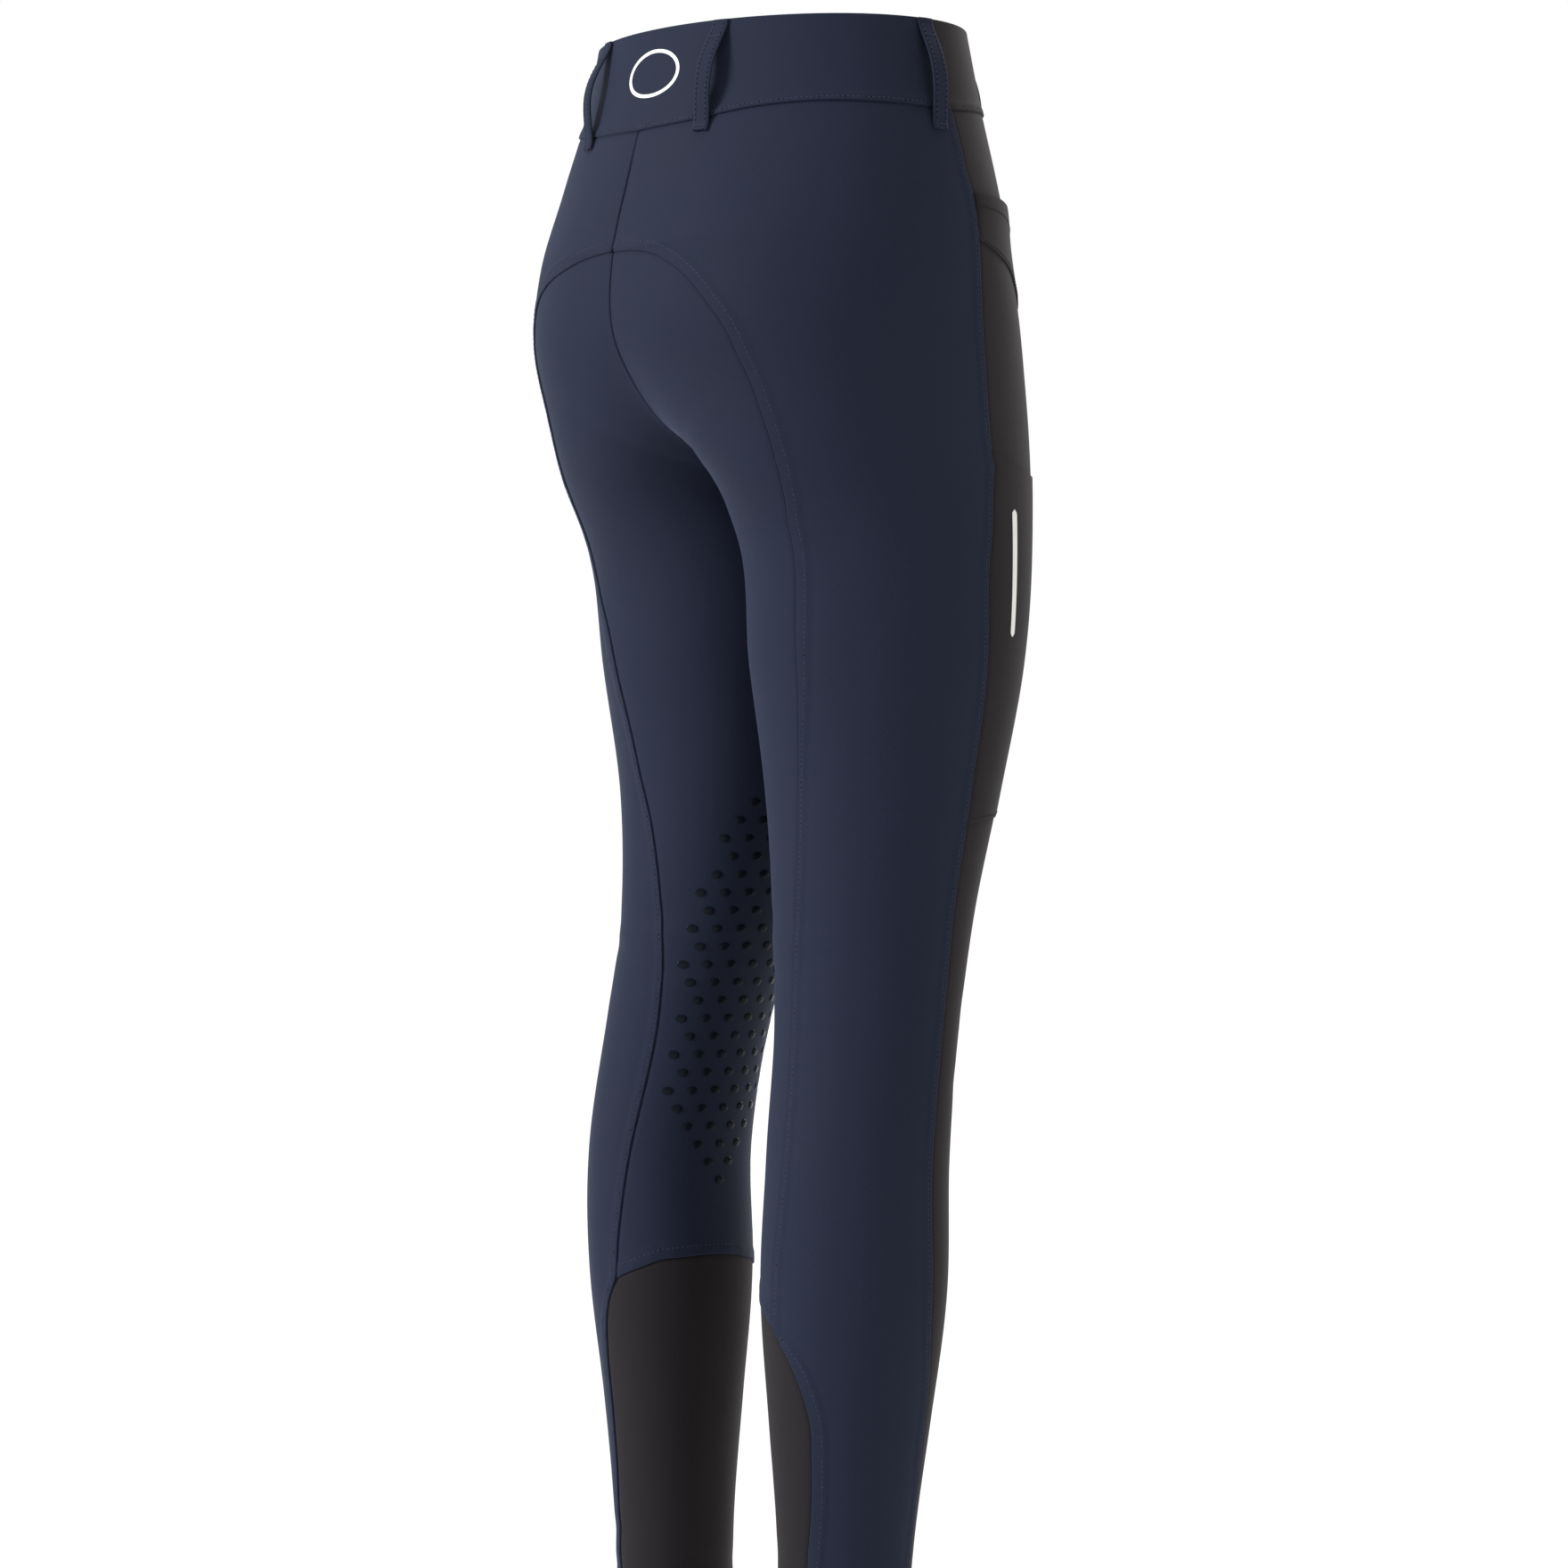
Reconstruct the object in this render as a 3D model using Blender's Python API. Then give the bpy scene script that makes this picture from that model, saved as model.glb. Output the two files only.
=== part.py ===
"""Riding breeches in their hollow worn form. Metres, +Z up, the wearer faces -Y.

The origin is the centre of the waist opening, level with the waistband's top edge. Every panel is a
cloth wall on one form: a torso of two lobes that becomes two legs below the crotch. A place on the
form is (t, z): t runs from 0 at the centre front round the wearer's left side (0.5) to 1 at the
centre back. Below the crotch t runs on round the leg's inner side, so t and t + 1 are one place.
"""

import math

import bpy
import numpy as np
from mathutils import Vector
from mathutils.geometry import delaunay_2d_cdt

WALL = 0.0016
BAND_OUT = 0.0004
BAND_IN = 0.0020
SEAM_GAP = 0.00032
PATCH_GAP = 0.00050
PATCH_WALL = 0.0013
FOLD_SOFT = 0.010
HEM = -1.008
CROTCH = -0.270
STEP = 0.0165
T_SCALE = 0.42

NAVY = (0.036, 0.043, 0.072, 1.0)
CHARCOAL = (0.032, 0.032, 0.038, 1.0)
HORN = (0.018, 0.018, 0.022, 1.0)

# Half sections in mm: height, outer side, centre of the front lobe, of the back lobe, front, back,
# height line between the lobes, how much narrower the inner curve is than the outer one, fullness of
# the curve, and the share by which depth leans sideways.
SECTIONS = [
    (12.0, 133.0, 1.0, 0.0, -94.5, 96.0, 1.0, 0.0, 2.05, 0.000),
    (-38.0, 143.5, 1.0, 0.0, -103.5, 104.5, 2.0, 0.0, 2.05, 0.000),
    (-88.0, 154.5, 1.0, 8.0, -112.0, 118.0, 2.5, 0.0, 2.10, 0.000),
    (-138.0, 162.0, 9.0, 21.5, -118.0, 130.5, 2.5, 0.0, 2.15, 0.000),
    (-188.0, 161.5, 27.5, 33.5, -123.0, 131.5, 1.5, 0.0, 2.20, 0.000),
    (-228.0, 160.0, 51.0, 54.0, -123.0, 115.0, 0.5, 2.0, 2.15, 0.000),
    (-270.0, 158.0, 70.0, 70.0, -120.5, 97.5, -5.5, 19.0, 2.08, 0.000),
    (-308.0, 158.0, 77.5, 77.5, -117.0, 77.5, -13.5, 4.0, 2.00, 0.010),
    (-388.0, 154.0, 78.0, 78.0, -107.5, 65.5, -19.0, 0.0, 2.00, 0.030),
    (-468.0, 144.5, 78.0, 78.0, -89.0, 54.5, -15.5, 0.0, 2.00, 0.048),
    (-548.0, 138.5, 82.0, 82.0, -67.5, 54.0, -6.5, 0.0, 2.00, 0.065),
    (-608.0, 141.5, 89.5, 89.5, -51.5, 59.5, 3.5, 0.0, 2.00, 0.072),
    (-688.0, 146.0, 95.0, 95.0, -39.0, 70.5, 14.0, 0.0, 2.00, 0.080),
    (-768.0, 144.5, 93.0, 93.0, -38.5, 72.5, 14.0, 0.0, 2.00, 0.090),
    (-848.0, 134.0, 90.0, 90.0, -31.0, 66.0, 14.5, 0.0, 2.00, 0.100),
    (-928.0, 124.0, 87.0, 87.0, -22.0, 59.5, 16.5, 0.0, 2.00, 0.090),
    (-1008.0, 119.0, 83.0, 83.0, -18.0, 58.5, 18.5, 0.0, 2.00, 0.080),
]
LENGTH_COLUMNS = 7

# Seams as (t, height in mm).
BAND_LOW = [
    (0.0, -52), (0.34, -52), (0.45, -55), (0.58, -54), (0.72, -54),
    (0.80, -56), (0.90, -61), (1.0, -63),
]
BAND_SIDE = 0.47
SIDE_SEAM = [
    (0.450, -55), (0.440, -83), (0.437, -94), (0.429, -106), (0.428, -124), (0.431, -140),
    (0.435, -161), (0.437, -193), (0.435, -220), (0.438, -242), (0.443, -257), (0.450, -272),
    (0.455, -289), (0.459, -308), (0.466, -332), (0.465, -385), (0.460, -472), (0.457, -531),
    (0.450, -588), (0.451, -651), (0.454, -740), (0.444, -790), (0.422, -830), (0.417, -861),
    (0.403, -891), (0.400, -916), (0.395, -1008),
]
SEAT_ARCH = {
    "left": [
        (1.0, -138), (0.983, -138.4), (0.956, -140), (0.934, -142), (0.897, -146), (0.869, -149),
        (0.844, -153), (0.818, -159), (0.801, -167), (0.787, -183), (0.774, -205), (0.760, -228),
        (0.746, -240), (0.725, -252),
    ],
    "right": [
        (1.0, -138), (0.960, -139), (0.921, -143), (0.890, -150), (0.861, -160), (0.834, -173),
        (0.801, -192), (0.784, -208), (0.760, -229), (0.746, -240), (0.725, -252),
    ],
}
BACK_SEAM = {
    "left": [
        (0.699, -264), (0.682, -275), (0.683, -290), (0.685, -310), (0.690, -328), (0.699, -344),
        (0.715, -363), (0.725, -384), (0.731, -400), (0.738, -416), (0.743, -429), (0.754, -455),
        (0.774, -483), (0.790, -511), (0.811, -550), (0.824, -573), (0.836, -606), (0.833, -651),
        (0.819, -690), (0.803, -724), (0.790, -751), (0.785, -771),
    ],
    "right": [
        (0.699, -264), (0.682, -275), (0.687, -285), (0.692, -294), (0.698, -303), (0.701, -317),
        (0.706, -353), (0.708, -396), (0.724, -472), (0.733, -526), (0.743, -579), (0.744, -632),
        (0.744, -696), (0.754, -748), (0.760, -788),
    ],
}
SOCK_TOP = {
    "left": [
        (0.785, -771), (0.804, -768), (0.843, -763), (0.875, -759), (0.922, -757), (0.974, -756),
        (1.089, -761), (1.17, -768),
    ],
    "right": [
        (0.760, -788), (0.800, -780), (0.860, -770), (0.920, -762), (0.974, -758), (1.089, -761),
        (1.17, -768),
    ],
}
SOCK_SEAM = {
    "left": [
        (0.785, -771), (0.763, -783), (0.750, -794), (0.733, -825), (0.732, -859), (0.729, -888),
        (0.718, -922), (0.714, -953), (0.712, -1008),
    ],
    "right": [
        (0.760, -788), (0.715, -808), (0.688, -828), (0.674, -844), (0.672, -867), (0.676, -898),
        (0.689, -929), (0.700, -1008),
    ],
}
INNER_SEAM = [
    (1.0, -270), (1.03, -300), (1.07, -350), (1.12, -430), (1.15, -520), (1.17, -620),
    (1.17, -700), (1.17, -768),
]

# Patches as (t, height in mm) round the edges that don't lie on a seam, and how far each edge
# point stands off the panel in mm.
HIP_POCKET = [
    (0.424, -106, 1.0), (0.37, -106, 3.2), (0.30, -108, 3.2), (0.22, -112, 2.0),
    (0.195, -126, 1.0), (0.195, -158, 0.0), (0.210, -169, 0.0), (0.24, -168, 0.0),
    (0.275, -162, 0.0), (0.322, -149, 0.0), (0.388, -139, 0.0),
]
HIP_POCKET_SIDE = (-106, -132)
THIGH_POCKET = [
    (0.405, -266, 1.0), (0.35, -266, 1.4), (0.31, -268, 1.0), (0.25, -271, 0.0),
    (0.237, -290, 0.0), (0.232, -380, 0.0), (0.235, -455, 0.0), (0.25, -470, 0.0),
    (0.31, -477, 0.0), (0.365, -481, 0.0), (0.417, -483, 0.0),
]
THIGH_POCKET_SIDE = (-258, -486)
FLY_EDGE = [
    (0.024, -203, 0.0), (0.052, -190, 0.0), (0.074, -172, 0.0), (0.084, -150, 0.0),
    (0.086, -110, 0.0), (0.086, -60, 0.0),
]
FLY_CENTRE = (-60, -206)

LOOP_PLACES = [("back", 0.873), ("side", 0.487), ("front", 0.170)]
LOOP_WIDTH = 0.0115
LOOP_WALL = 0.0014
LOOP_TOP = -0.0006
LOOP_BOTTOM = -0.0685
LOOP_RISE = 0.0034
LOOP_SEAT = 0.0008

BUTTON_PLACE = (0.026, -0.026)
BUTTON_RADIUS = 0.0085
BUTTON_WALL = 0.0026
BUTTON_OFF = 0.0010

TABLE = np.array(SECTIONS)[::-1].copy()
TABLE[:, :LENGTH_COLUMNS + 1] *= 0.001


def clear_scene():
    for obj in list(bpy.data.objects):
        bpy.data.objects.remove(obj, do_unlink=True)


def smooth_through(knots, values, place):
    """Cubic curve through the values at ascending knots."""
    gaps = np.diff(knots)
    slopes = np.diff(values) / gaps
    ends = np.zeros_like(values)
    ends[1:-1] = (slopes[:-1] * gaps[1:] + slopes[1:] * gaps[:-1]) / (gaps[:-1] + gaps[1:])
    ends[0] = slopes[0]
    ends[-1] = slopes[-1]
    i = np.clip(np.searchsorted(knots, place) - 1, 0, len(gaps) - 1)
    s = (place - knots[i]) / gaps[i]
    return (
        values[i] * (1 + 2 * s) * (1 - s) ** 2
        + ends[i] * gaps[i] * s * (1 - s) ** 2
        + values[i + 1] * s * s * (3 - 2 * s)
        + ends[i + 1] * gaps[i] * s * s * (s - 1)
    )


def section(z):
    return [smooth_through(TABLE[:, 0], TABLE[:, k], z) for k in range(1, 10)]


def form(t, z):
    """The point of the form at (t, z)."""
    t = np.asarray(t, float)
    z = np.asarray(z, float)
    below = z <= CROTCH + 1e-9
    flip = (~below) & ((t > 1) | (t < 0))
    t = np.where(below, t - np.floor(t), np.where(t > 1, 2 - t, np.abs(t)))
    outer, lobe_f, lobe_b, front, back, mid, thin, full, lean = section(z)
    ahead = t < 0.5
    cx = np.where(ahead, lobe_f, lobe_b)
    cx = np.where(below, (lobe_f + lobe_b) / 2, cx)
    rx = outer - cx
    ry = np.where(ahead, mid - front, back - mid)
    inner = rx - thin
    end = np.where(below, np.pi, np.arccos(-np.clip(cx / inner, 0, 1) ** (full / 2)))
    angle = end * np.abs(2 * t - 1)
    c = np.cos(angle)
    s = np.sin(angle)
    x = cx + np.where(c < 0, inner, rx) * np.sign(c) * np.abs(c) ** (2 / full)
    depth = ry * np.abs(s) ** (2 / full)
    soft = FOLD_SOFT * np.clip((z - CROTCH) / 0.05, 0, 1)
    eased = np.sqrt(np.maximum(x, 0) ** 2 + soft ** 2)
    share = np.clip(np.abs((eased - cx) / inner), 0, 1)
    inner_depth = np.where(eased < cx, ry * (1 - share ** full) ** (1 / full), ry)
    depth = np.where((x < cx) & (~below), inner_depth, depth)
    y = mid + np.where(ahead, -depth, depth)
    x = x - lean * (y - mid)
    return np.stack([np.where(flip, -x, x), y, z], -1)


def level(p, ahead):
    """Below zero inside the form, above zero outside, for the half with x above zero."""
    x = p[..., 0]
    y = p[..., 1]
    z = p[..., 2]
    outer, lobe_f, lobe_b, front, back, mid, thin, full, lean = section(z)
    below = z <= CROTCH
    cx = np.where(below, (lobe_f + lobe_b) / 2, np.where(ahead, lobe_f, lobe_b))
    rx = outer - cx
    ry = np.where(ahead, mid - front, back - mid)
    x = x + lean * (y - mid)
    soft = FOLD_SOFT * np.clip((z - CROTCH) / 0.05, 0, 1)
    eased = np.where((x < cx) & ~below, np.sqrt(x * x + soft * soft), x)
    eased = np.where((x < cx) & ~below & (eased > cx), cx, eased)
    wide = np.where(eased < cx, rx - thin, rx)
    return np.abs((eased - cx) / wide) ** full + np.abs((y - mid) / ry) ** full - 1


def normal(t, z):
    """The outward direction at (t, z), the same for every panel that meets there."""
    t = np.asarray(t, float)
    z = np.asarray(z, float)
    p = form(t, z)
    below = z <= CROTCH + 1e-9
    turn = (~below) & ((t > 1) | (t < 0))
    p[..., 0] = np.where(turn, -p[..., 0], p[..., 0])
    around = np.where(below, t - np.floor(t), np.where(t > 1, 2 - t, np.abs(t)))
    ahead = around < 0.5
    slope = np.zeros(p.shape)
    for k in range(3):
        shift = np.zeros(3)
        shift[k] = 0.0002
        slope[..., k] = level(p + shift, ahead) - level(p - shift, ahead)
    on_centre = (p[..., 0] < 1e-6) | ((~below) & ((around < 1e-6) | (around > 1 - 1e-6)))
    slope[..., 0] = np.where(on_centre, 0.0, slope[..., 0])
    slope /= np.linalg.norm(slope, axis=-1, keepdims=True)
    slope[..., 0] = np.where(turn, -slope[..., 0], slope[..., 0])
    return slope


def along(points, step=STEP, stops=()):
    """Places (t, z) about one step apart on the cloth along a seam, with one at each stop's height."""
    knots = np.array([(t, z * 0.001) for t, z in points])
    gaps = np.hypot(np.diff(knots[:, 0]) * T_SCALE, np.diff(knots[:, 1]))
    run = np.concatenate([[0], np.cumsum(gaps)])
    fine = np.linspace(0, run[-1], 600)
    t = smooth_through(run, knots[:, 0], fine)
    z = smooth_through(run, knots[:, 1], fine)
    t[0], z[0] = knots[0]
    t[-1], z[-1] = knots[-1]
    xyz = form(t, z)
    length = np.concatenate([[0], np.cumsum(np.linalg.norm(np.diff(xyz, axis=0), axis=1))])
    count = max(2, int(round(length[-1] / step)))
    at = np.linspace(0, length[-1], count + 1)
    places = np.stack([np.interp(at, length, t), np.interp(at, length, z)], -1)
    places[0] = knots[0]
    places[-1] = knots[-1]
    for stop in stops:
        near = 1 + int(np.argmin(np.abs(places[1:-1, 1] - stop * 0.001)))
        hit = int(np.argmin(np.abs(z - stop * 0.001)))
        places[near] = (t[hit], z[hit])
    return [tuple(place) for place in places]


def level_run(t_from, t_to, z, step=STEP):
    """Places at one height."""
    return along([(t_from, z * 1000), ((t_from + t_to) / 2, z * 1000), (t_to, z * 1000)], step)


def shifted(places, turns):
    return [(t + turns, z) for t, z in places]


def between(places, stops):
    """The places from one stop's height to the other's."""
    top, low = [int(np.argmin([abs(z - stop * 0.001) for _, z in places])) for stop in stops]
    return places[top:low + 1]


def joined(*runs):
    """One closed outline from runs that share their ends."""
    outline = []
    for run in runs:
        for place in run:
            if not outline or np.hypot(place[0] - outline[-1][0], place[1] - outline[-1][1]) > 1e-7:
                outline.append(place)
    if np.hypot(outline[0][0] - outline[-1][0], outline[0][1] - outline[-1][1]) < 1e-7:
        outline.pop()
    return outline


def flat_points(places):
    return np.array([(t * T_SCALE, z) for t, z in places])


def inside(points, outline):
    """Which flat points lie inside a closed flat outline."""
    found = np.zeros(len(points), bool)
    for (x0, y0), (x1, y1) in zip(outline, np.roll(outline, -1, axis=0)):
        if y0 == y1:
            continue
        crosses = (y0 > points[:, 1]) != (y1 > points[:, 1])
        found ^= crosses & (points[:, 0] < (x1 - x0) * (points[:, 1] - y0) / (y1 - y0) + x0)
    return found


def distance(points, outline):
    """How far each flat point is from a closed flat outline."""
    best = np.full(len(points), 9.0)
    for a, b in zip(outline, np.roll(outline, -1, axis=0)):
        edge = b - a
        s = np.clip(((points - a) @ edge) / max(edge @ edge, 1e-12), 0, 1)
        best = np.minimum(best, np.linalg.norm(points - (a + s[:, None] * edge), axis=1))
    return best


def lattice():
    """Places spread over the whole form, closer round the crotch and wider below the knee."""
    heights = list(np.arange(-0.020, -0.245, -0.0235)) + [-0.250, -0.261, -0.2665]
    heights += list(np.arange(-0.286, HEM, -0.0255))
    places = []
    for row, z in enumerate(heights):
        gap = 1 / 27 if z > -0.5 else (1 / 22 if z > -0.70 else 1 / 18)
        if CROTCH < z < -0.245:
            gap = 1 / 27
        start = 0.5 * gap * (row % 2)
        places += [(t, z) for t in np.arange(start, 2.0, gap)]
    return places


LATTICE = lattice()


def triangulate(outline, holes=()):
    """Places and triangles that fill an outline. Each patch outline inside it runs along edges."""
    edge_flat = flat_points(outline)
    spread = flat_points(LATTICE)
    keep = inside(spread, edge_flat) & (distance(spread, edge_flat) > 0.0065)
    for hole in holes:
        keep &= distance(spread, flat_points(hole)) > 0.0045
    places = list(outline)
    edges = [(i, (i + 1) % len(outline)) for i in range(len(outline))]
    for hole in holes:
        index = []
        for place in hole:
            near = [k for k, p in enumerate(places) if abs(p[0] - place[0]) + abs(p[1] - place[1]) < 1e-7]
            if near:
                index.append(near[0])
            else:
                index.append(len(places))
                places.append(place)
        edges += [(a, b) for a, b in zip(index, index[1:] + index[:1])]
    places += [place for place, kept in zip(LATTICE, keep) if kept]
    flat = [Vector(p) for p in flat_points(places)]
    points, _, faces, origin, _, _ = delaunay_2d_cdt(flat, edges, [], 1, 1e-9)
    order = [places[min(found)] for found in origin]
    middle = np.array([np.mean([points[i][:] for i in face], axis=0) for face in faces])
    kept = inside(middle, edge_flat)
    return order, [tuple(face) for face, held in zip(faces, kept) if held]


def border(faces):
    """Outline loops of a set of triangles, as lists of vertices."""
    ends = {}
    seen = set()
    for face in faces:
        for a, b in zip(face, face[1:] + face[:1]):
            seen.add((a, b))
    for a, b in seen:
        if (b, a) not in seen:
            ends[a] = b
    loops = []
    while ends:
        start = next(iter(ends))
        loop = [start]
        step = ends.pop(start)
        while step != start:
            loop.append(step)
            step = ends.pop(step)
        loops.append(loop)
    return loops


def cloth(places, faces, out, into, mirrored):
    """A closed wall on the form between the heights out and -into, drawn back a little at its edge."""
    t = np.array([p[0] for p in places])
    z = np.array([p[1] for p in places])
    middle = form(t, z)
    away = normal(t, z)
    signed = np.cross(
        middle[[f[1] for f in faces]] - middle[[f[0] for f in faces]],
        middle[[f[2] for f in faces]] - middle[[f[0] for f in faces]],
    )
    facing = (signed * away[[f[0] for f in faces]]).sum(axis=1).sum()
    if facing < 0:
        faces = [tuple(reversed(f)) for f in faces]
    back = np.zeros(middle.shape)
    loops = border(faces)
    for loop in loops:
        for k, i in enumerate(loop):
            up = away[i]
            before = middle[i] - middle[loop[k - 1]]
            after = middle[loop[(k + 1) % len(loop)]] - middle[i]
            sides = []
            for run in (before, after):
                side = np.cross(up, run - up * (run @ up))
                sides.append(side / np.linalg.norm(side))
            both = sides[0] + sides[1]
            back[i] = both * (SEAM_GAP / 2) / max(1 + sides[0] @ sides[1], 0.3)
    out = np.broadcast_to(out, t.shape)[:, None]
    into = np.broadcast_to(into, t.shape)[:, None]
    outer = middle + back + away * out
    inner = middle + back - away * into
    points = np.concatenate([outer, inner])
    count = len(places)
    solid = list(faces) + [tuple(i + count for i in reversed(f)) for f in faces]
    for loop in loops:
        for k, i in enumerate(loop):
            j = loop[(k + 1) % len(loop)]
            solid.append((j, i, i + count))
            solid.append((j, i + count, j + count))
    if mirrored:
        points = points * np.array([-1.0, 1.0, 1.0])
        solid = [tuple(reversed(f)) for f in solid]
    return points, solid


def used_only(places, faces):
    used = sorted({i for face in faces for i in face})
    index = {old: new for new, old in enumerate(used)}
    return [places[i] for i in used], [tuple(index[i] for i in face) for face in faces]


def material(name, colour, roughness, sheen):
    made = bpy.data.materials.new(name)
    made.use_nodes = True
    shader = made.node_tree.nodes["Principled BSDF"]
    shader.inputs["Base Color"].default_value = colour
    shader.inputs["Roughness"].default_value = roughness
    shader.inputs["Sheen Weight"].default_value = sheen
    made.diffuse_color = colour
    return made


def node(name, points, faces, finish):
    mesh = bpy.data.meshes.new(name)
    mesh.from_pydata([tuple(p) for p in points], [], faces)
    mesh.update()
    mesh.materials.append(material(name, *finish))
    obj = bpy.data.objects.new(name, mesh)
    bpy.context.collection.objects.link(obj)
    return obj


def panel(name, outline, finish, mirrored, patches=(), out=0.0, into=WALL):
    """One cut panel, and the patches that lie on it, made from its points moved out."""
    holes = [patch["outline"] for patch in patches]
    places, faces = triangulate(outline, holes)
    node(name, *cloth(places, faces, out, into, mirrored), finish)
    flat = flat_points(places)
    middle = np.array([flat[list(face)].mean(axis=0) for face in faces])
    for patch in patches:
        held = inside(middle, flat_points(patch["outline"]))
        own, own_faces = used_only(places, [f for f, keep in zip(faces, held) if keep])
        lift = patch_lift(own, patch["edge"])
        under = -(PATCH_GAP + lift)
        node(
            patch["name"],
            *cloth(own, own_faces, PATCH_GAP + lift + PATCH_WALL, under, mirrored),
            patch["finish"],
        )


def patch_lift(places, edge):
    """How far a patch stands off at each place: most at its open edge, nothing 26 mm from it."""
    raised = [(t * T_SCALE, z * 0.001, rise * 0.001) for t, z, rise in edge if rise > 0]
    lift = np.zeros(len(places))
    for x, y, rise in raised:
        flat = flat_points(places)
        reach = np.clip(1 - np.hypot(flat[:, 0] - x, flat[:, 1] - y) / 0.026, 0, 1)
        lift = np.maximum(lift, rise * reach ** 1.5)
    return lift


def patch_outline(side_run, edge):
    """The patch's own edge points, then back along the seam that it is sewn into."""
    return list(reversed(side_run)) + [(t, z * 0.001) for t, z, _ in edge]


def leg_panels(side):
    mirrored = side == "right"
    navy = (NAVY, 0.85, 0.25)
    charcoal = (CHARCOAL, 0.85, 0.25)
    stops = HIP_POCKET_SIDE + (THIGH_POCKET_SIDE if mirrored else ())
    side_seam = along(SIDE_SEAM, stops=stops)
    back_seam = along(SEAT_ARCH[side] + BACK_SEAM[side])
    sock_top = along(SOCK_TOP[side], 0.013)
    sock_seam = along(SOCK_SEAM[side])
    inner_seam = along(INNER_SEAM)
    sock_front = along([(1.17, -768), (1.17, -850), (1.17, -930), (1.17, HEM * 1000)])
    centre_front = along([(0.0, -52), (0.0, -120), (0.0, -200), (0.0, -270)], 0.0125, FLY_CENTRE[1:])
    centre_back_low = along([(1.0, -138), (1.0, -180), (1.0, -225), (1.0, -270)], 0.0125)
    centre_back_top = along([(1.0, -63), (1.0, -100), (1.0, -138)], 0.0125)
    band_front = [place for place in BAND_LINE if place[0] <= SIDE_SEAM[0][0] + 1e-9]
    band_back = [place for place in BAND_LINE if place[0] >= SIDE_SEAM[0][0] - 1e-9]
    hem_front = level_run(SIDE_SEAM[-1][0], 0.17, HEM)
    hem_back = level_run(SIDE_SEAM[-1][0], SOCK_SEAM[side][-1][0], HEM)
    hem_sock = level_run(SOCK_SEAM[side][-1][0], 1.17, HEM)

    hip_run = between(side_seam, HIP_POCKET_SIDE)
    patches = [
        {
            "name": "hip_pocket_" + side,
            "outline": patch_outline(hip_run, HIP_POCKET),
            "edge": HIP_POCKET,
            "finish": charcoal,
        }
    ]
    if mirrored:
        thigh_run = between(side_seam, THIGH_POCKET_SIDE)
        patches.append(
            {
                "name": "thigh_pocket_right",
                "outline": patch_outline(thigh_run, THIGH_POCKET),
                "edge": THIGH_POCKET,
                "finish": charcoal,
            }
        )
    else:
        fly_run = [place for place in centre_front if place[1] >= FLY_CENTRE[1] * 0.001 - 0.0005][1:]
        patches.append(
            {
                "name": "fly",
                "outline": fly_run + [(t, z * 0.001) for t, z, _ in FLY_EDGE],
                "edge": FLY_EDGE,
                "finish": charcoal,
            }
        )
    front = joined(
        band_front,
        side_seam,
        hem_front,
        shifted(reversed(sock_front), -1),
        shifted(reversed(inner_seam), -1),
        reversed(centre_front),
    )
    back = joined(
        band_back,
        centre_back_top,
        back_seam,
        sock_seam,
        reversed(hem_back),
        reversed(side_seam),
    )
    seat = joined(back_seam, sock_top, reversed(inner_seam), reversed(centre_back_low))
    sock = joined(sock_top, sock_front, reversed(hem_sock), reversed(sock_seam))
    panel("front_" + side, front, charcoal, mirrored, patches)
    panel("back_" + side, back, navy, mirrored)
    panel("seat_" + side, seat, navy, mirrored)
    panel("sock_" + side, sock, charcoal, mirrored)


def band_line():
    """The waistband's lower seam from the centre front to the centre back."""
    runs = [0.0, SIDE_SEAM[0][0], BAND_SIDE, 1.0]
    knots = np.array(BAND_LOW, float)
    places = []
    for start, end in zip(runs, runs[1:]):
        count = max(1, round((end - start) * 27))
        for k in range(count):
            t = start + (end - start) * k / count
            places.append((t, float(smooth_through(knots[:, 0], knots[:, 1], np.array(t))) * 0.001))
    places.append((1.0, BAND_LOW[-1][1] * 0.001))
    return places


BAND_LINE = band_line()


def waistband():
    navy = (NAVY, 0.85, 0.25)
    charcoal = (CHARCOAL, 0.85, 0.25)
    low_back = [place for place in BAND_LINE if place[0] >= BAND_SIDE - 1e-9]
    low_front = [place for place in BAND_LINE if place[0] <= BAND_SIDE + 1e-9]
    low_round = low_back + [(2 - t, z) for t, z in reversed(low_back[:-1])]
    top_round = [(t, 0.0) for t, _ in low_round]
    side_low = low_back[0]
    side_run = [(BAND_SIDE, side_low[1] * k / 3) for k in range(4)]
    far_run = [(2 - BAND_SIDE, z) for _, z in side_run]
    centre_run = [(0.0, low_front[0][1] * k / 3) for k in range(4)]
    outline = joined(low_round, reversed(far_run), reversed(top_round), side_run)
    panel("waistband_back", outline, navy, False, out=BAND_OUT, into=BAND_IN)
    outline = joined(low_front, reversed(side_run), [(t, 0.0) for t, _ in reversed(low_front)], centre_run)
    panel("waistband_front_left", outline, charcoal, False, out=BAND_OUT, into=BAND_IN)
    panel("waistband_front_right", outline, charcoal, True, out=BAND_OUT, into=BAND_IN)


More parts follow.
